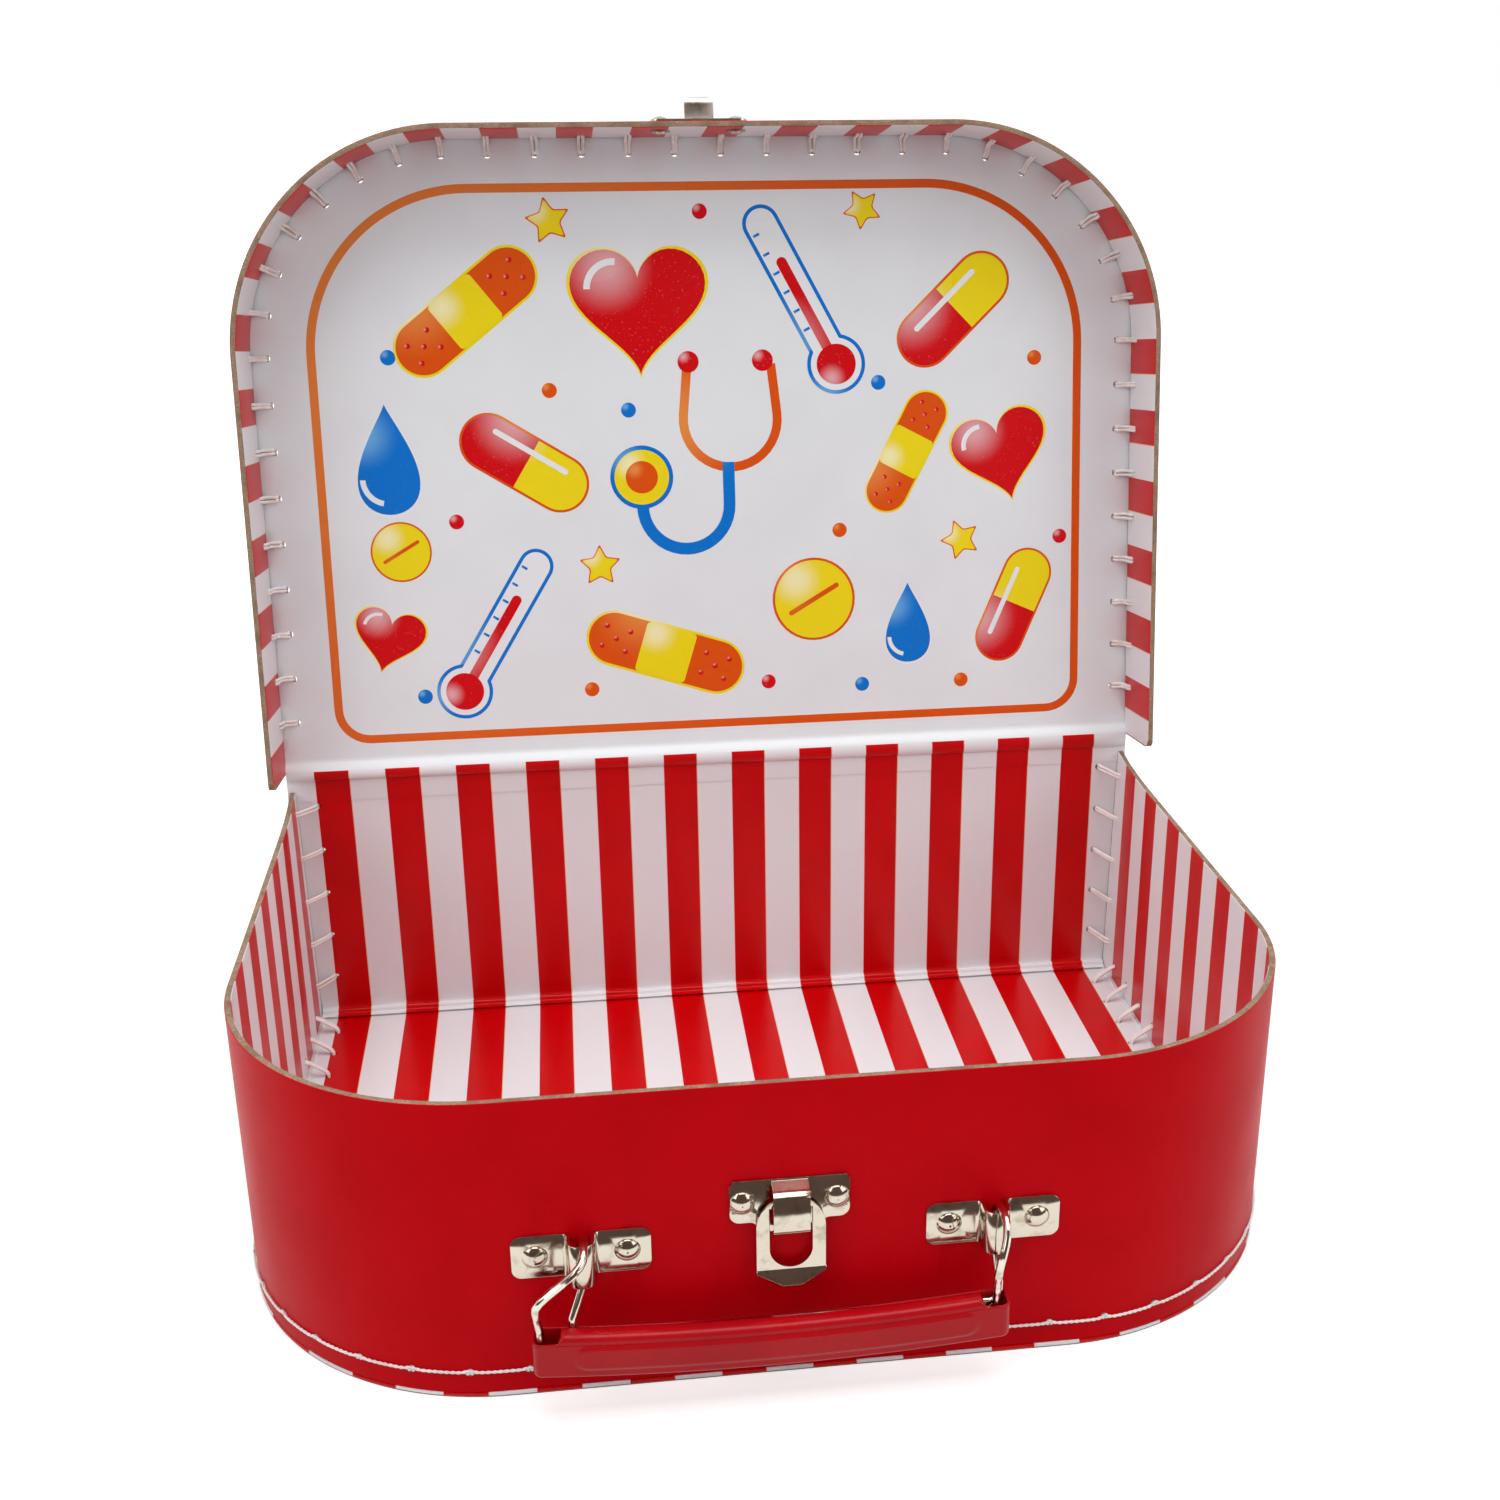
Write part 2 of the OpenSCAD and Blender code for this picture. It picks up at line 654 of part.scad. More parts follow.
// Catch: the plate on the lid rim with the hook that the hasp goes over
module lid_catch() {
    color(NICKEL) in_lid() difference() {
        union() {
            difference() {
                translate([hardware_x, lid_front, -catch_top - catch_h / 2]) rotate([90, 0, 0])
                    linear_extrude(metal_t) rounded(catch_w, catch_h, 2.2);
                translate([hardware_x, lid_front, -hook_root + 4]) rotate([90, 0, 0])
                    linear_extrude(4, center = true) rounded(hook_w + 0.8, 6.4, 0.8);
            }
            intersection() {
                translate([hardware_x - hook_w / 2, lid_front, 0]) rotate([90, 0, 90])
                    linear_extrude(hook_w) hook_profile();
                translate([hardware_x, lid_front, -lid_rim_h]) linear_extrude(lid_rim_h)
                    rounded(hook_w, 2 * hook_out, 2.2);
            }
        }
        at_catch_rivets() cylinder(h = through, r = rivet_hole_r, center = true, $fn = 32);
    }
}

// Side view of the hook: out from the plate and up, open towards the lid board
module hook_profile() {
    o = hook_out;
    t = metal_t;
    polygon([[0, -hook_root - 0.2], [-t, -hook_root - 0.2], [1.2 - o, -hook_root], [0.3 - o, t - hook_root],
        [-o, 2 - hook_root], [-o, -hook_tip], [t - o, -hook_tip], [t - o, 2.2 - hook_root],
        [1.2 - o, 1.1 - hook_root], [1.8 - o, t - hook_root], [-t, t - hook_root], [0, t - hook_root]]);
}

module latch_rivets() {
    color(NICKEL) at_latch_rivets() rivet();
}

module latch_washers() {
    color(NICKEL) at_latch_rivets() washer();
}

module bracket_rivets() {
    color(NICKEL) at_bracket_rivets() rivet();
}

module bracket_washers() {
    color(NICKEL) at_bracket_rivets() washer();
}

module catch_rivets() {
    color(NICKEL) in_lid() at_catch_rivets() rivet();
}

module catch_washers() {
    color(NICKEL) in_lid() at_catch_rivets() washer();
}

base_board();
base_rim();
lid_board();
lid_rim();
base_corner_stitches();
base_rim_thread();
base_underside_thread();
back_corner_stitches();
back_corner_threads();
lid_corner_stitches();
lid_rim_thread();
lid_top_thread();
latch_plate();
latch_hasp();
latch_rivets();
latch_washers();
handle_bracket_left();
handle_bracket_right();
bracket_rivets();
bracket_washers();
handle_wire();
handle_grip();
lid_catch();
catch_rivets();
catch_washers();
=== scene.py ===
"""Looks of a toy doctor case: papered boards, stitching, nickel-plated fittings and a lacquered grip."""

import logging
import math
from dataclasses import dataclass, field
from enum import Enum
from typing import Iterable, Sequence

import bmesh
import bpy
from mathutils import Matrix, Vector


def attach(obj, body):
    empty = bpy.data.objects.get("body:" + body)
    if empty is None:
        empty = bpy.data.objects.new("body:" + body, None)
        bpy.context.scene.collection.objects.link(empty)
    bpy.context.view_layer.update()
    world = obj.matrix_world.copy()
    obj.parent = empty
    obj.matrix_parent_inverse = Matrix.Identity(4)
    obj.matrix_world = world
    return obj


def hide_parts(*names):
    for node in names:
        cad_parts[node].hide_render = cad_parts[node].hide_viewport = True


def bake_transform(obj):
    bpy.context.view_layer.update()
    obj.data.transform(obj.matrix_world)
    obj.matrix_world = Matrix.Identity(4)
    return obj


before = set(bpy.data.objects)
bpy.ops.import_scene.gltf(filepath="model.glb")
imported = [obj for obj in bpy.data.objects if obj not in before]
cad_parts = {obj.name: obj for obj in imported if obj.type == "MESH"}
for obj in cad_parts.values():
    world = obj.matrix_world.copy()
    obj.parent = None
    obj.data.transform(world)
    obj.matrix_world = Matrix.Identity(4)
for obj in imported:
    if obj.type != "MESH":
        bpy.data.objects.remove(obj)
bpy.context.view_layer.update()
log = logging.getLogger("toy_case")

Colour = tuple[float, float, float, float]
Point = tuple[float, float, float]
Point2 = tuple[float, float]
MM = 0.001
# Faces larger than this are shaded flat.
FLAT_AREA = 3000 * MM * MM
# A face looks a way when its normal goes that way by at least this share.
FACING = 0.6
# Points closer than this are one point for the operators.
TOUCH = 1e-7
# Heights, and corners of loose CAD triangles, closer than this are the same.
SAME = 1e-6


def srgb(red: int, green: int, blue: int) -> Colour:
    """Linear colour of an 8-bit screen colour.

    Args:
        red: Red, up to 255.
        green: Green, up to 255.
        blue: Blue, up to 255.

    Returns:
        The colour, opaque.
    """
    def linear(value: int) -> float:
        """Linear part of one channel."""
        share = value / 255
        return share / 12.92 if share <= 0.04045 else ((share + 0.055) / 1.055) ** 2.4
    return linear(red), linear(green), linear(blue), 1.0


class PatternSource(Enum):
    """Where a printed pattern takes its measure from."""

    ACROSS_CASE = "object"
    ALONG_PIECE = "uv"


class Ink(Enum):
    """Printed colours of the lid's lining."""

    RED = "red"
    ORANGE = "orange"
    YELLOW = "yellow"
    BLUE = "blue"
    WHITE = "white"


class Face(Enum):
    """Material slots of a papered board, in order."""

    COVER = 0
    LINING = 1
    RAW = 2


class NodeSheet:
    """Short way to write a material's nodes."""

    def __init__(self, name: str) -> None:
        """Starts a material with an empty Principled shader.

        Args:
            name: The material's name.
        """
        self.material = bpy.data.materials.new(name)
        self.material.use_nodes = True
        self.tree = self.material.node_tree
        self.tree.nodes.clear()
        self.shader = self.tree.nodes.new("ShaderNodeBsdfPrincipled")
        output = self.tree.nodes.new("ShaderNodeOutputMaterial")
        self.tree.links.new(self.shader.outputs[0], output.inputs["Surface"])

    def set(self, **values: float | Colour) -> None:
        """Sets plain values on the shader's own sockets, underscores standing for spaces."""
        for name, value in values.items():
            self.shader.inputs[name.replace("_", " ")].default_value = value

    def feed(self, socket: bpy.types.NodeSocket, value: object) -> None:
        """Links a socket, or sets its plain value.

        Args:
            socket: The input.
            value: Another node's output, or a plain value.
        """
        if isinstance(value, bpy.types.NodeSocket):
            self.tree.links.new(value, socket)
        else:
            socket.default_value = value

    def add(self, kind: str, inputs: dict[str | int, object] | None = None,
            **settings: object) -> bpy.types.Node:
        """Adds a node.

        Args:
            kind: The node's type.
            inputs: Values or sockets for its inputs, by name or number.
            settings: The node's own properties.

        Returns:
            The new node.
        """
        node = self.tree.nodes.new(kind)
        for name, value in settings.items():
            setattr(node, name, value)
        for name, value in (inputs or {}).items():
            self.feed(node.inputs[name], value)
        return node

    def math(self, operation: str, *values: object, clamp: bool = False) -> bpy.types.NodeSocket:
        """Result of a Math node."""
        node = self.add("ShaderNodeMath", dict(enumerate(values)), operation=operation, use_clamp=clamp)
        return node.outputs[0]

    def mix(self, share: object, first: object, second: object) -> bpy.types.NodeSocket:
        """Colour between two colours."""
        node = self.add("ShaderNodeMix", {0: share, 6: first, 7: second}, data_type="RGBA")
        return node.outputs[2]

    def step(self, value: object, low: float, high: float) -> bpy.types.NodeSocket:
        """Smooth step of a value from 0 at low to 1 at high."""
        node = self.add("ShaderNodeMapRange", {0: value, 1: low, 2: high}, interpolation_type="SMOOTHSTEP")
        return node.outputs[0]

    def place(self, source: PatternSource = PatternSource.ACROSS_CASE) -> bpy.types.NodeSocket:
        """Object coordinates, or the piece's UV map."""
        node = self.add("ShaderNodeTexCoord")
        return node.outputs["Object" if source is PatternSource.ACROSS_CASE else "UV"]

    def stretched(self, vector: object, scale: Point) -> bpy.types.NodeSocket:
        """A coordinate with its axes scaled."""
        node = self.add("ShaderNodeMapping", {"Vector": vector, "Scale": scale})
        return node.outputs[0]

    def part(self, vector: object, axis: str) -> bpy.types.NodeSocket:
        """One axis of a coordinate."""
        return self.add("ShaderNodeSeparateXYZ", {0: vector}).outputs[axis]

    def noise(self, vector: object, size: float, detail: float = 3.0,
              rough: float = 0.5) -> bpy.types.NodeSocket:
        """Noise with features about the given size in metres."""
        node = self.add(
            "ShaderNodeTexNoise", {"Vector": vector, "Scale": 1 / size, "Detail": detail, "Roughness": rough})
        return node.outputs[0]

    def bumps(self, *layers: tuple[object, float]) -> None:
        """Stacks bump layers on the shader's normal.

        Args:
            layers: Pairs of a height socket and its depth in metres.
        """
        normal = None
        for height, depth in layers:
            inputs = {"Height": height, "Distance": depth, "Strength": 1.0}
            if normal is not None:
                inputs["Normal"] = normal
            normal = self.add("ShaderNodeBump", inputs).outputs[0]
        self.feed(self.shader.inputs["Normal"], normal)

    def roughness(self, source: object, low: float, high: float) -> None:
        """Lets the roughness vary with a value between two limits."""
        node = self.add("ShaderNodeMapRange", {0: source, 1: 0.3, 2: 0.7, 3: low, 4: high})
        self.feed(self.shader.inputs["Roughness"], node.outputs[0])


@dataclass(frozen=True)
class RedPaper:
    """Satin red covering paper with a fine leathery grain."""

    name: str = "red_cover_paper"
    colour: Colour = srgb(197, 0, 14)
    worn: Colour = srgb(203, 12, 24)
    grain: float = 0.45 * MM

    def material(self) -> bpy.types.Material:
        """Lays out the finish's nodes.

        Returns:
            The material.
        """
        sheet = NodeSheet(self.name)
        place = sheet.place()
        cloud = sheet.noise(place, 22 * MM, 4)
        speck = sheet.noise(place, 1.6 * MM, 2)
        grain = sheet.noise(place, self.grain, 4, 0.65)
        swell = sheet.noise(place, 30 * MM, 1)
        spots = sheet.step(speck, 0.72, 0.8)
        base = sheet.mix(sheet.step(cloud, 0.35, 0.75), self.colour, srgb(189, 0, 12))
        sheet.feed(sheet.shader.inputs["Base Color"], sheet.mix(spots, base, self.worn))
        sheet.set(Specular_IOR_Level=0.06)
        sheet.roughness(cloud, 0.34, 0.44)
        sheet.bumps((grain, 0.05 * MM), (swell, 0.25 * MM))
        return sheet.material


@dataclass(frozen=True)
class StripedLining:
    """Glossy white lining paper printed with red stripes."""

    name: str
    source: PatternSource
    middle: float
    pitch: float = 20.17 * MM
    width: float = 9.75 * MM
    red: Colour = srgb(202, 0, 6)
    white: Colour = srgb(230, 230, 233)
    fringe: Colour = srgb(238, 190, 120)

    def material(self) -> bpy.types.Material:
        """Lays out the finish's nodes.

        Returns:
            The material.
        """
        sheet = NodeSheet(self.name)
        place = sheet.place(self.source)
        along = sheet.part(place, "X")
        folded = sheet.math("ABSOLUTE", self.distance(sheet, along, self.middle))
        fringe = sheet.math("ABSOLUTE", self.distance(sheet, along, self.middle + 0.2 * MM))
        red = sheet.step(folded, self.width / 2 + 0.06 * MM, self.width / 2 - 0.06 * MM)
        edge = sheet.step(fringe, self.width / 2 + 0.12 * MM, self.width / 2 - 0.02 * MM)
        cloud = sheet.noise(place, 18 * MM, 3)
        swell = sheet.noise(sheet.place(), 40 * MM, 1)
        paper = sheet.mix(sheet.math("MULTIPLY", edge, 0.6), self.white, self.fringe)
        ink = sheet.mix(sheet.step(cloud, 0.3, 0.8), self.red, srgb(192, 0, 4))
        sheet.feed(sheet.shader.inputs["Base Color"], sheet.mix(red, paper, ink))
        sheet.set(Specular_IOR_Level=0.2, Coat_Weight=0.06, Coat_Roughness=0.12)
        sheet.roughness(cloud, 0.28, 0.3)
        sheet.bumps((swell, 0.16 * MM))
        return sheet.material

    def distance(self, sheet: NodeSheet, along: object, middle: float) -> bpy.types.NodeSocket:
        """Signed distance to the nearest stripe's middle.

        Args:
            sheet: The material's nodes.
            along: The running coordinate.
            middle: Where one stripe's middle lies.

        Returns:
            The distance's socket.
        """
        shifted = sheet.math("SUBTRACT", along, middle - self.pitch / 2)
        wrapped = sheet.math("FLOORED_MODULO", shifted, self.pitch)
        return sheet.math("SUBTRACT", wrapped, self.pitch / 2)


@dataclass(frozen=True)
class WhiteLining:
    """Plain glossy lining paper, slightly wavy."""

    name: str = "white_lining_paper"
    colour: Colour = srgb(233, 238, 241)

    def material(self) -> bpy.types.Material:
        """Lays out the finish's nodes.

        Returns:
            The material.
        """
        sheet = NodeSheet(self.name)
        place = sheet.place()
        cloud = sheet.noise(place, 24 * MM, 3)
        swell = sheet.noise(place, 40 * MM, 1)
        tint = sheet.mix(sheet.step(cloud, 0.3, 0.8), self.colour, srgb(229, 233, 237))
        sheet.feed(sheet.shader.inputs["Base Color"], tint)
        sheet.set(Specular_IOR_Level=0.2, Coat_Weight=0.06, Coat_Roughness=0.12)
        sheet.roughness(cloud, 0.28, 0.3)
        sheet.bumps((swell, 0.16 * MM))
        return sheet.material


@dataclass(frozen=True)
class PrintInk:
    """Glossy printed colour with a soft light spot, placed by the piece's UV map."""

    name: str
    colour: Colour
    light: Colour
    spot: float = 0.75

    def material(self) -> bpy.types.Material:
        """Lays out the finish's nodes.

        Returns:
            The material.
        """
        sheet = NodeSheet(self.name)
        local = sheet.place(PatternSource.ALONG_PIECE)
        away = sheet.add("ShaderNodeVectorMath", {0: local, 1: (-0.22, 0.24, 0)}, operation="DISTANCE")
        glow = sheet.step(away.outputs["Value"], 0.36, 0.0)
        place = sheet.place()
        dots = sheet.noise(place, 0.7 * MM, 2)
        shade = sheet.mix(sheet.math("MULTIPLY", glow, self.spot), self.colour, self.light)
        fine = sheet.mix(sheet.step(dots, 0.62, 0.75), shade, self.light)
        sheet.feed(sheet.shader.inputs["Base Color"], sheet.mix(0.12, shade, fine))
        sheet.set(Specular_IOR_Level=0.28, Coat_Weight=0.1, Coat_Roughness=0.12)
        swell = sheet.noise(place, 40 * MM, 1)
        sheet.roughness(swell, 0.24, 0.32)
        sheet.bumps((swell, 0.16 * MM))
        return sheet.material


@dataclass(frozen=True)
class RawBoard:
    """Cut edge of grey-brown paperboard with its fibres."""

    name: str = "raw_board_edge"
    dark: Colour = srgb(128, 104, 84)
    light: Colour = srgb(176, 154, 130)

    def material(self) -> bpy.types.Material:
        """Lays out the finish's nodes.

        Returns:
            The material.
        """
        sheet = NodeSheet(self.name)
        place = sheet.place()
        fibre = sheet.noise(sheet.stretched(place, (1, 1, 2.5)), 0.5 * MM, 4, 0.7)
        patch = sheet.noise(place, 5 * MM, 2)
        tint = sheet.mix(sheet.step(fibre, 0.3, 0.7), self.dark, self.light)
        sheet.feed(sheet.shader.inputs["Base Color"], sheet.mix(sheet.step(patch, 0.4, 0.8), tint, self.dark))
        sheet.set(Roughness=0.9, Specular_IOR_Level=0.2)
        sheet.bumps((fibre, 0.15 * MM))
        return sheet.material


@dataclass(frozen=True)
class TwistedThread:
    """Off-white waxed thread."""

    name: str = "off_white_thread"
    colour: Colour = srgb(246, 240, 238)

    def material(self) -> bpy.types.Material:
        """Lays out the finish's nodes.

        Returns:
            The material.
        """
        sheet = NodeSheet(self.name)
        place = sheet.place()
        fibre = sheet.noise(place, 0.25 * MM, 3)
        dirt = sheet.noise(place, 9 * MM, 2)
        tint = sheet.mix(sheet.step(dirt, 0.4, 0.8), self.colour, srgb(230, 218, 210))
        sheet.feed(sheet.shader.inputs["Base Color"], tint)
        sheet.set(Specular_IOR_Level=0.5, Sheen_Weight=0.2, Sheen_Roughness=0.4)
        sheet.roughness(fibre, 0.3, 0.45)
        sheet.bumps((fibre, 0.04 * MM))
        return sheet.material


@dataclass(frozen=True)
class Plating:
    """Bright metal with faint rolling marks and cloudy roughness.

    A plate that is pressed slightly round gets the height of its fullest place and its half height.
    """

    name: str
    colour: Colour = srgb(204, 196, 180)
    low: float = 0.09
    high: float = 0.18
    dome: Point2 | None = None

    def material(self) -> bpy.types.Material:
        """Lays out the finish's nodes.

        Returns:
            The material.
        """
        sheet = NodeSheet(self.name)
        place = sheet.place()
        cloud = sheet.noise(place, 4 * MM, 4)
        marks = sheet.noise(sheet.stretched(place, (1, 1, 14)), 2.2 * MM, 3, 0.7)
        tarnish = sheet.noise(place, 2.5 * MM, 3)
        tint = sheet.mix(sheet.step(tarnish, 0.5, 0.8), self.colour, srgb(176, 164, 146))
        sheet.feed(sheet.shader.inputs["Base Color"], tint)
        sheet.set(Metallic=1.0)
        sheet.roughness(cloud, self.low, self.high)
        layers = [(marks, 0.006 * MM), (cloud, 0.03 * MM)]
        if self.dome:
            middle, half = self.dome
            off = sheet.math("DIVIDE", sheet.math("SUBTRACT", sheet.part(place, "Z"), middle), half)
            layers.append((sheet.math("SUBTRACT", 1.0, sheet.math("MULTIPLY", off, off)), 1.0 * MM))
        sheet.bumps(*layers)
        return sheet.material


@dataclass(frozen=True)
class RedLacquer:
    """Glossy stoved lacquer on sheet metal, with a fine orange-peel skin."""

    name: str = "red_lacquer"
    colour: Colour = srgb(178, 8, 20)

    def material(self) -> bpy.types.Material:
        """Lays out the finish's nodes.

        Returns:
            The material.
        """
        sheet = NodeSheet(self.name)
        place = sheet.place()
        peel = sheet.noise(place, 2.5 * MM, 1)
        cloud = sheet.noise(place, 12 * MM, 3)
        tint = sheet.mix(sheet.step(cloud, 0.3, 0.8), self.colour, srgb(168, 6, 18))
        sheet.feed(sheet.shader.inputs["Base Color"], tint)
        sheet.set(Specular_IOR_Level=0.16, Coat_Weight=0.12, Coat_Roughness=0.08)
        sheet.roughness(cloud, 0.26, 0.36)
        sheet.bumps((peel, 0.012 * MM))
        return sheet.material


class Palette:
    """Every finish of the case, made once."""

    def __init__(self) -> None:
        """Makes the materials."""
        self.cover = RedPaper().material()
        self.stripes = StripedLining("striped_lining", PatternSource.ACROSS_CASE, 9 * MM).material()
        self.base_strip = StripedLining("striped_rim_lining", PatternSource.ALONG_PIECE, 17 * MM).material()
        self.lid_strip = StripedLining("striped_lid_rim_lining", PatternSource.ALONG_PIECE, 5.9 * MM,
                                       19.87 * MM).material()
        self.white = WhiteLining().material()
        self.raw = RawBoard().material()
        self.thread = TwistedThread().material()
        self.nickel = Plating("nickel_plate").material()
        self.latch = Plating("nickel_latch_plate", dome=(37 * MM, 7 * MM)).material()
        self.bracket = Plating("nickel_bracket", dome=(31.5 * MM, 7.5 * MM)).material()
        self.wire = Plating("nickel_wire", srgb(216, 210, 198), 0.07, 0.14).material()
        self.catch = Plating("nickel_catch", srgb(214, 208, 196), 0.24, 0.34).material()
        self.steel = Plating("plain_steel", srgb(180, 174, 166), 0.3, 0.45).material()
        self.lacquer = RedLacquer().material()
        self.inks = {
            Ink.RED: PrintInk("red_ink", srgb(214, 0, 14), srgb(236, 196, 200)).material(),
            Ink.ORANGE: PrintInk("orange_ink", srgb(226, 84, 6), srgb(242, 160, 80)).material(),
            Ink.YELLOW: PrintInk("yellow_ink", srgb(244, 222, 18), srgb(250, 246, 200), 0.9).material(),
            Ink.BLUE: PrintInk("blue_ink", srgb(0, 118, 214), srgb(130, 196, 240)).material(),
            Ink.WHITE: PrintInk("white_ink", srgb(236, 240, 243), srgb(244, 246, 248), 0.4).material(),
        }


def make_object(name: str, bm: bmesh.types.BMesh, materials: Sequence[bpy.types.Material],
                smooth_below: float) -> bpy.types.Object:
    """Turns a bmesh into a shaded object of the scene.

    Args:
        name: The object's name.
        bm: The shape, which is freed.
        materials: Its materials, in slot order.
        smooth_below: Edges that turn less than this, in degrees, are shaded smooth, but for large flat faces.

    Returns:
        The new object.
    """
    mesh = bpy.data.meshes.new(name)
    bm.to_mesh(mesh)
    bm.free()
    for material in materials:
        mesh.materials.append(material)
    mesh.shade_smooth()
    mesh.set_sharp_from_angle(angle=math.radians(smooth_below))
    for face in mesh.polygons:
        face.use_smooth = face.area < FLAT_AREA
    made = bpy.data.objects.new(name, mesh)
    bpy.context.scene.collection.objects.link(made)
    return made


def make_piece(name: str, body: str, bm: bmesh.types.BMesh,
               materials: Sequence[bpy.types.Material], smooth_below: float = 35) -> bpy.types.Object:
    """Turns a bmesh into a piece of the case.

    Args:
        name: The piece's name.
        body: The body that it rides on.
        bm: The shape, which is freed.
        materials: The piece's materials, in slot order.
        smooth_below: Edges that turn less than this, in degrees, are shaded smooth.

    Returns:
        The new piece.
    """
    piece = make_object(name, bm, materials, smooth_below)
    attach(piece, body)
    log.info("%s rides on %s: %d faces", name, body, len(piece.data.polygons))
    return piece


def only_verts(geom: Iterable[object]) -> list[bmesh.types.BMVert]:
    """The vertices among what an operator gives back."""
    return [g for g in geom if isinstance(g, bmesh.types.BMVert)]


def only_edges(geom: Iterable[object]) -> list[bmesh.types.BMEdge]:
    """The edges among what an operator gives back."""
    return [g for g in geom if isinstance(g, bmesh.types.BMEdge)]


def but_faces(geom: Iterable[object]) -> list[object]:
    """The vertices and edges among what an operator gives back."""
    return [g for g in geom if not isinstance(g, bmesh.types.BMFace)]


def score(bm: bmesh.types.BMesh, place: Point | Vector, way: Point | Vector) -> None:
    """Adds a line of vertices round the whole shape where a plane meets it."""
    bmesh.ops.bisect_plane(bm, geom=[*bm.verts, *bm.edges, *bm.faces], plane_co=place, plane_no=way,
                           dist=TOUCH)


def join(bm: bmesh.types.BMesh, other: bmesh.types.BMesh) -> None:
    """Adds one shape to another.

    Args:
        bm: The shape that grows.
        other: The shape that goes into it, which is freed.
    """
    mesh = bpy.data.meshes.new("joined")
    other.to_mesh(mesh)
    other.free()
    bm.from_mesh(mesh)
    bpy.data.meshes.remove(mesh)


def cut_away(bm: bmesh.types.BMesh, cutter: bmesh.types.BMesh) -> bmesh.types.BMesh:
    """Cuts one shape out of another.

    Args:
        bm: The shape, which is freed.
        cutter: Closed shapes to take away, which is freed.

    Returns:
        The cut shape.
    """
    objects = []
    for label, shape in (("cut_body", bm), ("cut_tool", cutter)):
        mesh = bpy.data.meshes.new(label)
        shape.to_mesh(mesh)
        shape.free()
        thing = bpy.data.objects.new(label, mesh)
        bpy.context.scene.collection.objects.link(thing)
        objects.append(thing)
    body, tool = objects
    modifier = body.modifiers.new("cut", "BOOLEAN")
    modifier.operation = "DIFFERENCE"
    modifier.solver = "EXACT"
    modifier.object = tool
    view = bpy.context.evaluated_depsgraph_get()
    result = bmesh.new()
    cut = body.evaluated_get(view).to_mesh()
    result.from_mesh(cut)
    body.evaluated_get(view).to_mesh_clear()
    for thing in objects:
        mesh = thing.data
        bpy.data.objects.remove(thing)
        bpy.data.meshes.remove(mesh)
    return result


@dataclass(frozen=True)
class RoundPath:
    """Line round the front and sides of the case, in its own flat plane, in metres."""

    half: float
    front: float
    radius: float
    rear: float

    def point(self, along: float, out: float = 0.0) -> Vector:
        """Point at a distance along the line from the middle of the front.

        Args:
            along: The distance, to the right where it is positive.
            out: How far the point is moved outwards.

        Returns:
            The point, at height zero.
        """
        side = -1 if along < 0 else 1
        flat = self.half - self.radius
        run = abs(along)
        turn = min(max((run - flat) / self.radius, 0), math.pi / 2)
        rest = max(run - flat - self.radius * math.pi / 2, 0)
        reach = self.radius + out
        return Vector((side * (min(run, flat) + reach * math.sin(turn)),
                       self.front + self.radius - reach * math.cos(turn) + rest, 0))

    def outward(self, along: float) -> Vector:
        """Unit vector out of the case at that distance."""
        turn = min(max((abs(along) - self.half + self.radius) / self.radius, 0), math.pi / 2)
        return Vector((math.copysign(math.sin(turn), along), -math.cos(turn), 0))

    def along(self, x: float, y: float) -> float:
        """Distance along the line of the nearest point to a place.

        Args:
            x: The place across the case.
            y: The place from front to back.

        Returns:
            The distance from the middle of the front, to the right where it is positive.
        """
        flat = self.half - self.radius
        beyond = abs(x) - flat
        back = y - self.front - self.radius
        if back >= 0:
            return math.copysign(flat + self.radius * math.pi / 2 + back, x)
        if beyond <= 0:
            return x
        return math.copysign(flat + self.radius * math.atan2(beyond, -back), x)


@dataclass(frozen=True)
class Seam:
    """Row of stitches along a rounded line, as many to the left of the middle as to the right."""

    path: RoundPath
    count: int
    pitch: float = 12.8 * MM

    def places(self) -> list[float]:
        """Distances of the stitches along the line."""
        return [(k + 0.5) * self.pitch for k in range(-self.count, self.count)]

    def reach(self) -> float:
        """Distance of the last stitch."""
        return (self.count - 0.5) * self.pitch


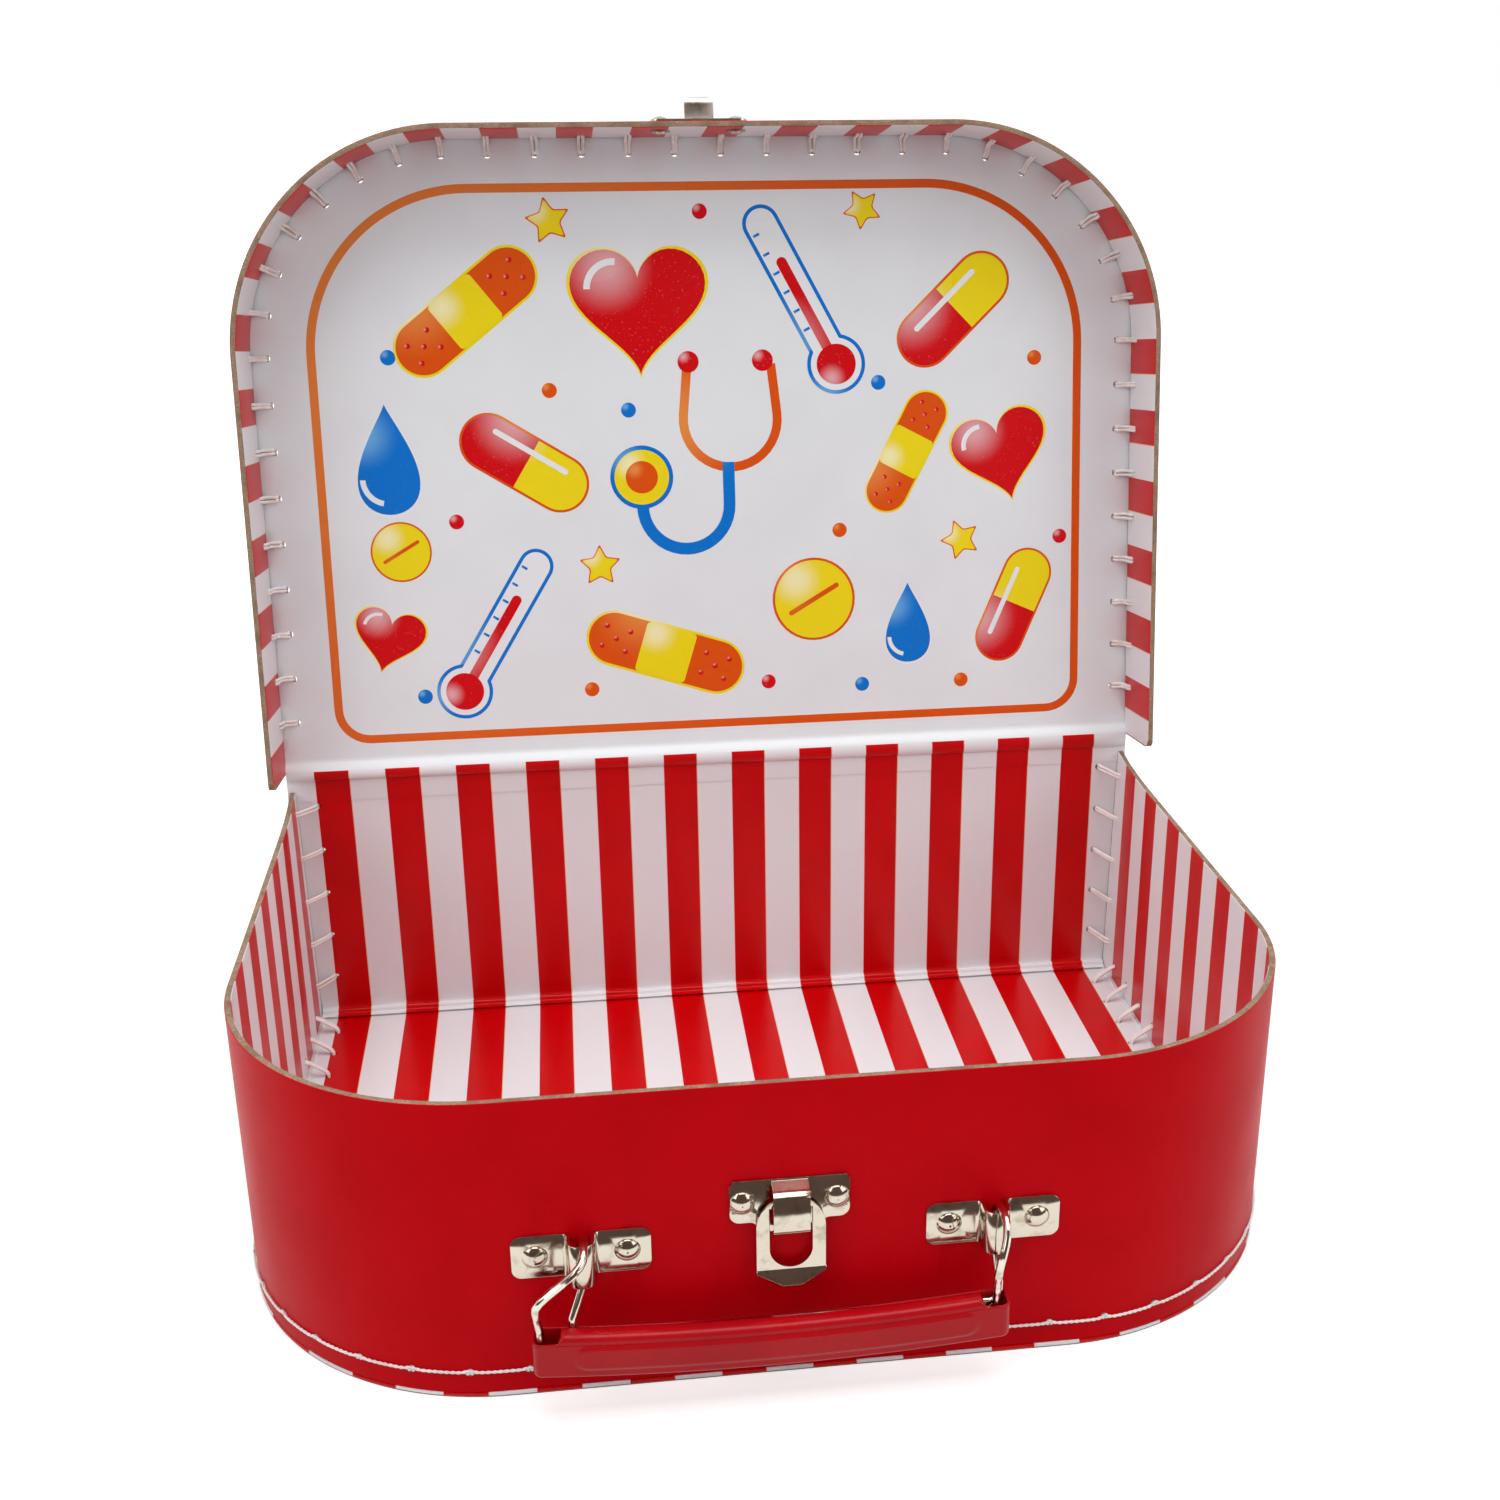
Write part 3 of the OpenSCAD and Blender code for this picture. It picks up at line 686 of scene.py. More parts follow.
@dataclass
class CaseSizes:
    """Main sizes of the case, in metres.

    The lowest of the back corners' stitches and the pitch between them are in millimetres.
    """

    case_w: float = 250 * MM
    case_d: float = 180 * MM
    case_h: float = 72.5 * MM
    board: float = 1.6 * MM
    foot: float = 1.05 * MM
    ledge: float = 1.5 * MM
    corner: float = 60 * MM
    side_gap: float = 1.4 * MM
    front_gap: float = 2 * MM
    lid_rim_h: float = 23 * MM
    lid_corner: float = 59 * MM
    lid_ledge: float = 1 * MM
    lid_rear: float = -5.2 * MM
    stitch_h: float = 6.3 * MM
    lid_stitch: float = 5 * MM
    base_line: float = 7.6 * MM
    lid_line: float = 5.8 * MM
    hole: float = 0.95 * MM
    rivet_hole: float = 1.25 * MM
    drill_length: float = 8 * MM
    stitches: int = 21
    back_stitches: int = 5
    back_first: float = 13.5
    back_pitch: float = 13.8
    back_inset: float = 5 * MM
    spring_start: float = 50 * MM
    spring_run: float = 38 * MM
    spring_out: float = 0.9 * MM
    spring_up: float = 1.0 * MM
    bulge: float = 0.9 * MM
    bulge_height: float = 20 * MM
    hinge: Vector = field(default_factory=lambda: Vector((0, 89.2 * MM, 73.7 * MM)))
    lid_angle: float = math.radians(98.2)

    def rim(self) -> RoundPath:
        """Outer line of the base rim."""
        return RoundPath(self.case_w / 2 - self.ledge, self.ledge - self.case_d / 2, self.corner,
                         self.case_d / 2 - self.board)

    def lid_rim(self) -> RoundPath:
        """Outer line of the lid rim in the lid's own plane."""
        base = self.rim()
        return RoundPath(base.half + self.side_gap + self.board,
                         base.front - self.front_gap - self.board - self.hinge.y,
                         self.lid_corner, self.lid_rear)

    def back_heights(self) -> list[float]:
        """Heights of the back corners' stitches."""
        return [(self.back_first + self.back_pitch * k) * MM for k in range(self.back_stitches)]

    def sprung(self, place: Vector) -> Vector:
        """Where a point of the base's rim really is.

        Its free ends spring out and up a little, and its foot bulges out in front.

        Args:
            place: The point on the plain rim.

        Returns:
            The point on the real one.
        """
        above = max(0.0, place.z - self.board)
        share = min(1.0, max(0.0, (place.y - self.spring_start) / self.spring_run)) ** 3
        lift = share * above / self.case_h
        rim = self.rim()
        out = rim.outward(rim.along(place.x, place.y))
        low = max(0.0, 1 - above / self.bulge_height) ** 1.5
        bulge = self.bulge * low * max(0.0, -out.y) ** 6
        sprung = Vector((math.copysign(self.spring_out, place.x), 0, self.spring_up))
        return place + sprung * lift + bulge * out

    def lid_place(self) -> Matrix:
        """From the lid's own plane, closed, to the lid as it stands."""
        return Matrix.Translation(self.hinge) @ Matrix.Rotation(-self.lid_angle, 4, "X")


@dataclass
class BentStrip:
    """Strip of papered board bent round a rounded line, standing from low to high.

    Its foot is the edge that meets the flat board, and its stitch holes lie at one height.
    """

    path: RoundPath
    board: float
    low: float
    high: float
    foot: float
    holes: float
    edge: float = 0.3 * MM
    worn: float = 0.4 * MM
    hole_band: float = 1.6 * MM
    straight_steps: int = 12
    turn_steps: int = 36

    def shape(self) -> bmesh.types.BMesh:
        """Pulls and turns the strip's section round the case.

        Returns:
            The strip as a closed tube with soft edges.
        """
        bm = bmesh.new()
        left = -self.path.half
        corners = [bm.verts.new((x, self.path.rear, z)) for x, z in
                   ((left, self.low), (left + self.board, self.low), (left + self.board, self.high),
                    (left, self.high))]
        face = bm.faces.new(corners)
        bmesh.ops.bevel(bm, geom=list(face.verts), offset=self.edge, affect="VERTICES", segments=3,
                        profile=0.5, material=-1)
        bmesh.ops.delete(bm, geom=list(bm.faces), context="FACES_ONLY")
        ring = list(bm.verts) + list(bm.edges)
        centre_y = self.path.front + self.path.radius
        flat = self.path.half - self.path.radius
        ring = self.straight(bm, ring, Vector((0, centre_y - self.path.rear, 0)))
        ring = self.turn(bm, ring, Vector((-flat, centre_y, 0)))
        ring = self.straight(bm, ring, Vector((2 * flat, 0, 0)))
        ring = self.turn(bm, ring, Vector((flat, centre_y, 0)))
        self.straight(bm, ring, Vector((0, self.path.rear - centre_y, 0)))
        bmesh.ops.remove_doubles(bm, verts=list(bm.verts), dist=TOUCH)
        bmesh.ops.holes_fill(bm, edges=[e for e in bm.edges if e.is_boundary], sides=0)
        bmesh.ops.recalc_face_normals(bm, faces=list(bm.faces))
        inner = self.foot + math.copysign(self.worn, (self.low + self.high) / 2 - self.foot)
        for level in (inner, self.holes - self.hole_band, self.holes + self.hole_band):
            score(bm, (0, 0, level), (0, 0, 1))
        score(bm, (0, self.path.rear - self.worn, 0), (0, 1, 0))
        return bm

    def straight(self, bm: bmesh.types.BMesh, ring: list[object], way: Vector) -> list[object]:
        """Pulls the section straight on.

        Args:
            bm: The shape.
            ring: The section's vertices and edges.
            way: The whole move.

        Returns:
            The last section.
        """
        for _ in range(self.straight_steps):
            ring = but_faces(bmesh.ops.extrude_edge_only(bm, edges=only_edges(ring))["geom"])
            bmesh.ops.translate(bm, verts=only_verts(ring), vec=way / self.straight_steps)
        return ring

    def turn(self, bm: bmesh.types.BMesh, ring: list[object], centre: Vector) -> list[object]:
        """Spins the section a quarter turn.

        Args:
            bm: The shape.
            ring: The section's vertices and edges.
            centre: The corner's centre.

        Returns:
            The last section.
        """
        spun = bmesh.ops.spin(bm, geom=ring, cent=centre, axis=(0, 0, 1), dvec=(0, 0, 0), angle=math.pi / 2,
                              steps=self.turn_steps, use_merge=False, use_duplicate=False)
        return but_faces(spun["geom_last"])

    def dress(self, bm: bmesh.types.BMesh) -> None:
        """Sorts the faces into cover, lining and raw edge, and lays the UV map along the strip.

        Args:
            bm: The strip, before anything moves it.
        """
        layer = bm.loops.layers.uv.verify()
        for face in bm.faces:
            middle = face.calc_center_median()
            way = face.normal.dot(self.path.outward(self.path.along(middle.x, middle.y)))
            kind = Face.COVER if way > FACING else Face.LINING if way < -FACING else Face.RAW
            rubbed = abs(middle.z - self.foot) < self.worn or middle.y > self.path.rear - self.worn
            if kind is Face.LINING and rubbed:
                kind = Face.RAW
            face.material_index = kind.value
            for loop in face.loops:
                loop[layer].uv = (self.path.along(loop.vert.co.x, loop.vert.co.y), loop.vert.co.z)


def drill(tool: bmesh.types.BMesh, place: Vector, way: Vector, radius: float, length: float) -> None:
    """Adds a round drill to a cutting shape.

    Args:
        tool: The cutting shape.
        place: The drill's middle.
        way: Its direction.
        radius: Its radius.
        length: Its length.
    """
    matrix = Matrix.Translation(place) @ way.to_track_quat("Z", "Y").to_matrix().to_4x4()
    bmesh.ops.create_cone(tool, cap_ends=True, segments=14, radius1=radius, radius2=radius, depth=length,
                          matrix=matrix)


def plate(half: float, front: float, rear: float, radius: float, low: float, high: float,
          edge: float = 0.25 * MM) -> bmesh.types.BMesh:
    """Flat board with two round front corners.

    Args:
        half: Half the width.
        front: The front edge's place.
        rear: The rear edge's place.
        radius: The corners' radius.
        low: The underside.
        high: The top.
        edge: Softening of the edges.

    Returns:
        The board.
    """
    bm = bmesh.new()
    corners = [bm.verts.new((x, y, low)) for x, y in
               ((-half, front), (half, front), (half, rear), (-half, rear))]
    face = bm.faces.new(corners)
    if radius > 0:
        bmesh.ops.bevel(bm, geom=corners[:2], offset=radius, affect="VERTICES", segments=40, profile=0.5,
                        material=-1)
        face = bm.faces[:][0]
    raised = bmesh.ops.extrude_face_region(bm, geom=[face])["geom"]
    bmesh.ops.translate(bm, verts=only_verts(raised), vec=(0, 0, high - low))
    bmesh.ops.recalc_face_normals(bm, faces=list(bm.faces))
    rims = [e for e in bm.edges if abs(e.verts[0].co.z - e.verts[1].co.z) < SAME]
    bmesh.ops.bevel(bm, geom=rims, offset=edge, affect="EDGES", segments=2, profile=0.5, material=-1)
    return bm


def sort_faces(bm: bmesh.types.BMesh, inside: Vector) -> None:
    """Sorts a flat board's faces: lining towards the inside, cover away from it, raw edges between.

    Args:
        bm: The board.
        inside: The direction of the case's inside.
    """
    for face in bm.faces:
        way = face.normal.dot(inside)
        kind = Face.LINING if way > FACING else Face.COVER if way < -FACING else Face.RAW
        face.material_index = kind.value


def folded_sheet(line: Sequence[Point2], half: float, thick: float,
                 steps: int = 20) -> bmesh.types.BMesh:
    """Strip of paper that follows a line in the Y-Z plane across the case.

    Args:
        line: Points of the line, as Y and Z.
        half: Half the width.
        thick: The paper's thickness, to both sides of the line.
        steps: How many pieces the width is made in.

    Returns:
        The strip, closed.
    """
    bm = bmesh.new()
    verts = [bm.verts.new((-half, y, z)) for y, z in line]
    for first, second in zip(verts, verts[1:]):
        bm.edges.new((first, second))
    edges = list(bm.edges)
    for _ in range(steps):
        made = bmesh.ops.extrude_edge_only(bm, edges=edges)["geom"]
        edges = only_edges(made)
        bmesh.ops.translate(bm, verts=only_verts(made), vec=(2 * half / steps, 0, 0))
    bmesh.ops.recalc_face_normals(bm, faces=list(bm.faces))
    bmesh.ops.solidify(bm, geom=list(bm.faces), thickness=thick)
    bmesh.ops.recalc_face_normals(bm, faces=list(bm.faces))
    return bm


@dataclass
class BaseShell:
    """Bottom, back wall and bent rim of the base.

    The bottom stands out further in front than at the sides, and its edge is pressed down under the rim.
    """

    sizes: CaseSizes
    palette: Palette
    rivets: Sequence[Point2]
    side_ledge: float = 0.3 * MM
    front_ledge: float = 1.3 * MM
    corner_more: float = 2 * MM
    bottom_edge: float = 0.35 * MM
    wrap: float = 0.45 * MM
    press: float = 2.6 * MM
    press_slope: float = 0.3 * MM
    fold_radius: float = 1.5 * MM
    fold_cover: float = 1.4 * MM
    ridge_radius: float = 0.85 * MM
    ridge_in: float = 1.05 * MM
    ridge_up: float = 0.5 * MM

    def build(self) -> None:
        """Makes the base's pieces."""
        self.rim()
        self.bottom()
        self.back_wall()
        self.fold()

    def rim(self) -> None:
        """The bent strip, with its stitch and rivet holes."""
        sizes = self.sizes
        path = sizes.rim()
        strip = BentStrip(path, sizes.board, sizes.foot, sizes.case_h, sizes.foot, sizes.stitch_h)
        tool = bmesh.new()
        for along in Seam(path, sizes.stitches).places():
            drill(tool, path.point(along, -sizes.board / 2) + Vector((0, 0, sizes.stitch_h)),
                  path.outward(along), sizes.hole, 3 * sizes.board)
        for x, z in self.rivets:
            drill(tool, Vector((x, path.front + sizes.board / 2, z)), Vector((0, 1, 0)), sizes.rivet_hole,
                  sizes.drill_length)
        bm = cut_away(strip.shape(), tool)
        strip.dress(bm)
        for vert in bm.verts:
            vert.co = sizes.sprung(vert.co)
        piece = make_piece("base_rim_board", "base", bm,
                           [self.palette.cover, self.palette.base_strip, self.palette.raw])
        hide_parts("base_rim")

    def bottom(self) -> None:
        """The bottom board, its lining reaching out over the ledge."""
        sizes = self.sizes
        path = sizes.rim()
        tool = bmesh.new()
        for along in Seam(path, sizes.stitches).places():
            drill(tool, path.point(along, -sizes.base_line), Vector((0, 0, 1)), sizes.hole,
                  sizes.drill_length)
        board = plate(path.half + self.side_ledge, path.front - self.front_ledge, path.rear,
                      sizes.corner + self.corner_more, 0, sizes.board, self.bottom_edge)
        self.press_edge(board)
        score(board, (0, 0, self.wrap), (0, 0, 1))
        bm = cut_away(board, tool)
        sort_faces(bm, Vector((0, 0, 1)))
        for face in bm.faces:
            if face.material_index == Face.RAW.value and face.calc_center_median().z > self.wrap:
                face.material_index = Face.LINING.value
        piece = make_piece("base_bottom_board", "base", bm,
                           [self.palette.cover, self.palette.stripes, self.palette.raw])
        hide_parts("base_board")

    def press_edge(self, board: bmesh.types.BMesh) -> None:
        """Presses the top of the bottom board down to the rim's foot where the rim stands on it.

        Args:
            board: The bottom board, before it is drilled.
        """
        sizes = self.sizes
        top = [max(board.faces,
                   key=lambda face: face.calc_center_median().z * (face.calc_area() > FLAT_AREA))]
        bmesh.ops.inset_region(board, faces=top, thickness=self.press, use_even_offset=True)
        pressed = [v for v in board.verts if v.co.z > sizes.board / 2]
        bmesh.ops.inset_region(board, faces=top, thickness=self.press_slope, use_even_offset=True)
        bmesh.ops.translate(board, verts=pressed, vec=(0, 0, sizes.foot - sizes.board))

    def back_wall(self) -> None:
        """The back wall, folded up from the bottom."""
        sizes = self.sizes
        half = sizes.case_w / 2
        outside = sizes.case_d / 2
        inside = outside - sizes.board
        tool = bmesh.new()
        reach = sizes.rim().half - sizes.board - sizes.back_inset
        for side in (-1, 1):
            for height in sizes.back_heights():
                drill(tool, Vector((side * reach, outside, height)), Vector((0, 1, 0)), sizes.hole,
                      sizes.drill_length)
        bm = bmesh.new()
        bmesh.ops.create_cube(bm, size=1)
        bmesh.ops.scale(bm, verts=list(bm.verts), vec=(2 * half, sizes.board, sizes.hinge.z))
        bmesh.ops.translate(bm, verts=list(bm.verts), vec=(0, (inside + outside) / 2, sizes.hinge.z / 2))
        low = [e for e in bm.edges if all(v.co.z < MM and v.co.y > (inside + outside) / 2 for v in e.verts)]
        bmesh.ops.bevel(bm, geom=low, offset=self.fold_radius, affect="EDGES", segments=6, profile=0.5,
                        material=-1)
        bm = cut_away(bm, tool)
        sort_faces(bm, Vector((0, -1, 0)))
        for face in bm.faces:
            beneath = face.calc_center_median().z < self.fold_cover
            if beneath and face.normal.y > -0.5 and abs(face.normal.x) < 0.5:
                face.material_index = Face.COVER.value
        piece = make_piece("base_back_wall", "base", bm,
                           [self.palette.cover, self.palette.stripes, self.palette.raw])
        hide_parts("base_board")

    def fold(self) -> None:
        """Raised paper ridge along the fold between bottom and back wall."""
        sizes = self.sizes
        half = sizes.rim().half - sizes.board - 0.3 * MM
        y = sizes.case_d / 2 - sizes.board
        z = sizes.board
        line = [(y - 4 * MM, z + 0.08 * MM), (y - 2.2 * MM, z + 0.1 * MM)]
        line += [(y - self.ridge_in - self.ridge_radius * math.cos(a),
                  z + self.ridge_up + self.ridge_radius * math.sin(a))
                 for a in (-0.2, 0.25, 0.7, 1.15, 1.6, 2.05, 2.4)]
        line += [(y - 0.16 * MM, z + 1.3 * MM), (y - 0.1 * MM, z + 2.2 * MM), (y - 0.08 * MM, z + 4 * MM)]
        bm = folded_sheet(line, half, 0.06 * MM, 60)
        for vert in bm.verts:
            wave = math.sin(vert.co.x * 310) * 0.12 + math.sin(vert.co.x * 127 + 1) * 0.16
            lift = max(0.0, 1 - abs(vert.co.y - (y - 0.9 * MM)) / (1.2 * MM))
            vert.co.z += wave * lift * 0.9 * MM
        make_piece("lining_fold_ridge", "base", bm, [self.palette.stripes], 60)


@dataclass
class LidShell:
    """Panel and bent rim of the lid, built closed and then swung to where it stands."""

    sizes: CaseSizes
    palette: Palette
    rivets: Sequence[Point2]
    end_radius: float = 3 * MM
    band_lap: float = 0.3 * MM
    band_rear: float = -1.4 * MM

    def build(self) -> None:
        """Makes the lid's pieces."""
        self.rim()
        self.panel()

    def rim(self) -> None:
        """The shallow bent strip with its rounded free ends."""
        sizes = self.sizes
        path = sizes.lid_rim()
        strip = BentStrip(path, sizes.board, -sizes.lid_rim_h, 0, 0, -sizes.lid_stitch)
        tool = bmesh.new()
        for along in Seam(path, sizes.stitches).places():
            drill(tool, path.point(along, -sizes.board / 2) + Vector((0, 0, -sizes.lid_stitch)),
                  path.outward(along), sizes.hole, 3 * sizes.board)
        for x, w in self.rivets:
            drill(tool, Vector((x, path.front + sizes.board / 2, -w)), Vector((0, 1, 0)), sizes.rivet_hole,
                  sizes.drill_length)
        self.round_ends(tool)
        bm = cut_away(strip.shape(), tool)
        strip.dress(bm)
        bmesh.ops.transform(bm, matrix=sizes.lid_place(), verts=list(bm.verts))
        piece = make_piece("lid_rim_board", "lid", bm,
                           [self.palette.cover, self.palette.lid_strip, self.palette.raw])
        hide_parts("lid_rim")

    def round_ends(self, tool: bmesh.types.BMesh) -> None:
        """Adds the shape that rounds the free corner of both rim ends to a cutting shape.

        Args:
            tool: The cutting shape.
        """
        sizes = self.sizes
        radius = self.end_radius
        half_wide = 4 * MM
        beyond = 1 * MM
        start = len(tool.verts)
        y, z = sizes.lid_rear, -sizes.lid_rim_h
        arc = [(y - radius + radius * math.sin(a), z + radius - radius * math.cos(a))
               for a in (k * math.pi / 16 for k in range(9))]
        outline = [(y - radius, z - beyond)] + arc + [(y + beyond, z + radius), (y + beyond, z - beyond)]
        for side in (-1, 1):
            x = side * sizes.lid_rim().half - half_wide
            face = tool.faces.new([tool.verts.new((x, q, h)) for q, h in outline])
            made = bmesh.ops.extrude_face_region(tool, geom=[face])["geom"]
            bmesh.ops.translate(tool, verts=only_verts(made), vec=(2 * half_wide, 0, 0))
        tool.verts.ensure_lookup_table()
        faces = {f for v in tool.verts[start:] for f in v.link_faces}
        bmesh.ops.recalc_face_normals(tool, faces=list(faces))

    def panel(self) -> None:
        """The flat panel, narrower next to the crease."""
        sizes = self.sizes
        path = sizes.lid_rim()
        tool = bmesh.new()
        for along in Seam(path, sizes.stitches).places():
            drill(tool, path.point(along, -sizes.lid_line), Vector((0, 0, 1)), sizes.hole,
                  sizes.drill_length)
        board = plate(path.half + sizes.lid_ledge, path.front - sizes.lid_ledge, sizes.lid_rear,
                      sizes.lid_corner + sizes.lid_ledge, 0, sizes.board)
        bm = cut_away(board, tool)
        join(bm, plate(sizes.case_w / 2, sizes.lid_rear - self.band_lap, self.band_rear, 0, 0, sizes.board))
        sort_faces(bm, Vector((0, 0, -1)))
        bmesh.ops.transform(bm, matrix=sizes.lid_place(), verts=list(bm.verts))
        piece = make_piece("lid_panel_board", "lid", bm,
                           [self.palette.cover, self.palette.white, self.palette.raw])
        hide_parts("lid_board")


@dataclass
class Crease:
    """Paper that the lid folds on: the lining's rounded bead inside and the cover outside."""

    sizes: CaseSizes
    palette: Palette
    bead: Sequence[Point2] = (
        (75.9, 0.02), (76.15, 0.4), (76.6, 0.78), (77.2, 1.02), (77.9, 1.1), (78.6, 1.04),
        (79.2, 0.86), (79.7, 0.6), (80.2, 0.25), (80.7, -0.25), (81.1, -0.75), (81.5, -1.25))
    stripes_end: float = 79.6 * MM
    inset: float = 0.05 * MM
    paper: float = 0.07 * MM
    steps: int = 50
    end_start: float = 119 * MM
    end_run: float = 6 * MM
    end_fall: float = 0.8
    slant: float = 0.0068

    def build(self) -> None:
        """Makes both papers, which run from the back wall over the hinge onto the lid."""
        sizes = self.sizes
        wall = sizes.case_d / 2 - sizes.board
        line = [(wall - 0.1 * MM, 70.4 * MM), (wall - 0.14 * MM, 72 * MM), (wall - 0.14 * MM, 73.8 * MM),
                (wall - 0.12 * MM, 75 * MM)]
        line += [(wall - out * MM, z * MM) for z, out in self.bead]
        line += [self.on_lid(run * MM, off * MM) for run, off in ((8.3, 0.2), (9.2, 0.13), (11.5, 0.1))]
        lining = folded_sheet(line, sizes.case_w / 2 - self.inset, self.paper, self.steps)
        for face in lining.faces:
            face.material_index = 0 if face.calc_center_median().z > self.stripes_end else 1
        for vert in lining.verts:
            near_end = min(1.0, max(0.0, abs(vert.co.x) - self.end_start) / self.end_run)
            depth = wall - vert.co.y
            if depth > 0:
                vert.co.y += depth * self.end_fall * near_end ** 2
            height = vert.co.z / MM
            tilt = min(1.0, max(0.0, (height - 73.5) / 2.4)) * min(1.0, max(0.0, (80 - height) / 4))
            vert.co.z -= self.slant * tilt * vert.co.x
        self.bend("crease_lining", lining, [self.palette.white, self.palette.stripes])
        outside = sizes.case_d / 2 + 0.1 * MM
        middle = sizes.hinge
        cover = [(outside, middle.z - 8 * MM), (outside, middle.z - 2 * MM),
                 (outside + 0.1 * MM, middle.z - 0.8 * MM), (middle.y + 1.35 * MM, middle.z + 0.2 * MM)]
        cover += [self.on_lid(run * MM, -off * MM) for run, off in ((1.6, 1.72), (3, 1.72), (8, 1.7))]
        outer = folded_sheet(cover, sizes.case_w / 2 - self.inset, self.paper, self.steps)
        self.bend("crease_cover", outer, [self.palette.cover])

    def on_lid(self, run: float, off: float) -> Point2:
        """Y and Z of the point at a distance up the lid and off its inner face."""
        lean = self.sizes.lid_angle - math.pi / 2
        hinge = self.sizes.hinge
        return (hinge.y + math.sin(lean) * run - math.cos(lean) * off,
                hinge.z + math.cos(lean) * run + math.sin(lean) * off)

    def bend(self, name: str, bm: bmesh.types.BMesh, materials: Sequence[bpy.types.Material]) -> None:
        """Makes one paper a piece without a parent, its place baked into the mesh.

        Args:
            name: The piece's name.
            bm: The paper, which is freed.
            materials: Its materials, in slot order.
        """
        piece = make_object(name, bm, materials, 60)
        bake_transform(piece)
        log.info("%s bends between base and lid", name)


@dataclass(frozen=True)
class Spot:
    """Place of a printed figure on the lid: across, up from the hinge, turn and size, in millimetres."""

    x: float
    up: float
    turn: float = 0.0
    size: float = 1.0

    def moved(self, right: float, up: float) -> "Spot":
        """A spot at an offset in the figure's own directions.

        Args:
            right: How far to the figure's right.
            up: How far to its top.

        Returns:
            The spot, turned and sized alike.
        """
        angle = math.radians(self.turn)
        right, up = right * self.size, up * self.size
        return Spot(self.x + right * math.cos(angle) - up * math.sin(angle),
                    self.up + right * math.sin(angle) + up * math.cos(angle), self.turn, self.size)


class Stroke:
    """Flat line of one width, drawn on from place to place, in millimetres."""

    def __init__(self, width: float, at: Point2, heading: float) -> None:
        """Starts the line.

        Args:
            width: The line's width.
            at: Where it starts.
            heading: Its direction, in degrees from the right.
        """
        self.bm = bmesh.new()
        self.at = Vector((*at, 0))
        self.heading = heading
        ends = [self.bm.verts.new(self.at + side * width / 2 * self.left()) for side in (-1, 1)]
        self.tip = [*ends, self.bm.edges.new(ends)]

    def way(self) -> Vector:
        """Unit vector ahead."""
        angle = math.radians(self.heading)
        return Vector((math.cos(angle), math.sin(angle), 0))

    def left(self) -> Vector:
        """Unit vector to the left."""
        return Vector((0, 0, 1)).cross(self.way())

    def forward(self, length: float) -> "Stroke":
        """Draws straight on.

        Args:
            length: How far.

        Returns:
            The line itself.
        """
        made = bmesh.ops.extrude_edge_only(self.bm, edges=only_edges(self.tip))["geom"]
        self.tip = but_faces(made)
        bmesh.ops.translate(self.bm, verts=only_verts(made), vec=self.way() * length)
        self.at += self.way() * length
        return self

    def turn(self, radius: float, degrees: float) -> "Stroke":
        """Draws an arc.

        Args:
            radius: Its radius.
            degrees: Its angle, to the left where it is positive.

        Returns:
            The line itself.
        """
        side = math.copysign(1, degrees)
        centre = self.at + side * radius * self.left()
        spun = bmesh.ops.spin(self.bm, geom=self.tip, cent=centre, axis=(0, 0, 1), dvec=(0, 0, 0),
                              angle=math.radians(degrees), steps=max(4, round(abs(degrees) / 9)),
                              use_merge=False, use_duplicate=False)
        self.tip = but_faces(spun["geom_last"])
        self.at = centre + Matrix.Rotation(math.radians(degrees), 3, "Z") @ (self.at - centre)
        self.heading += degrees
        return self


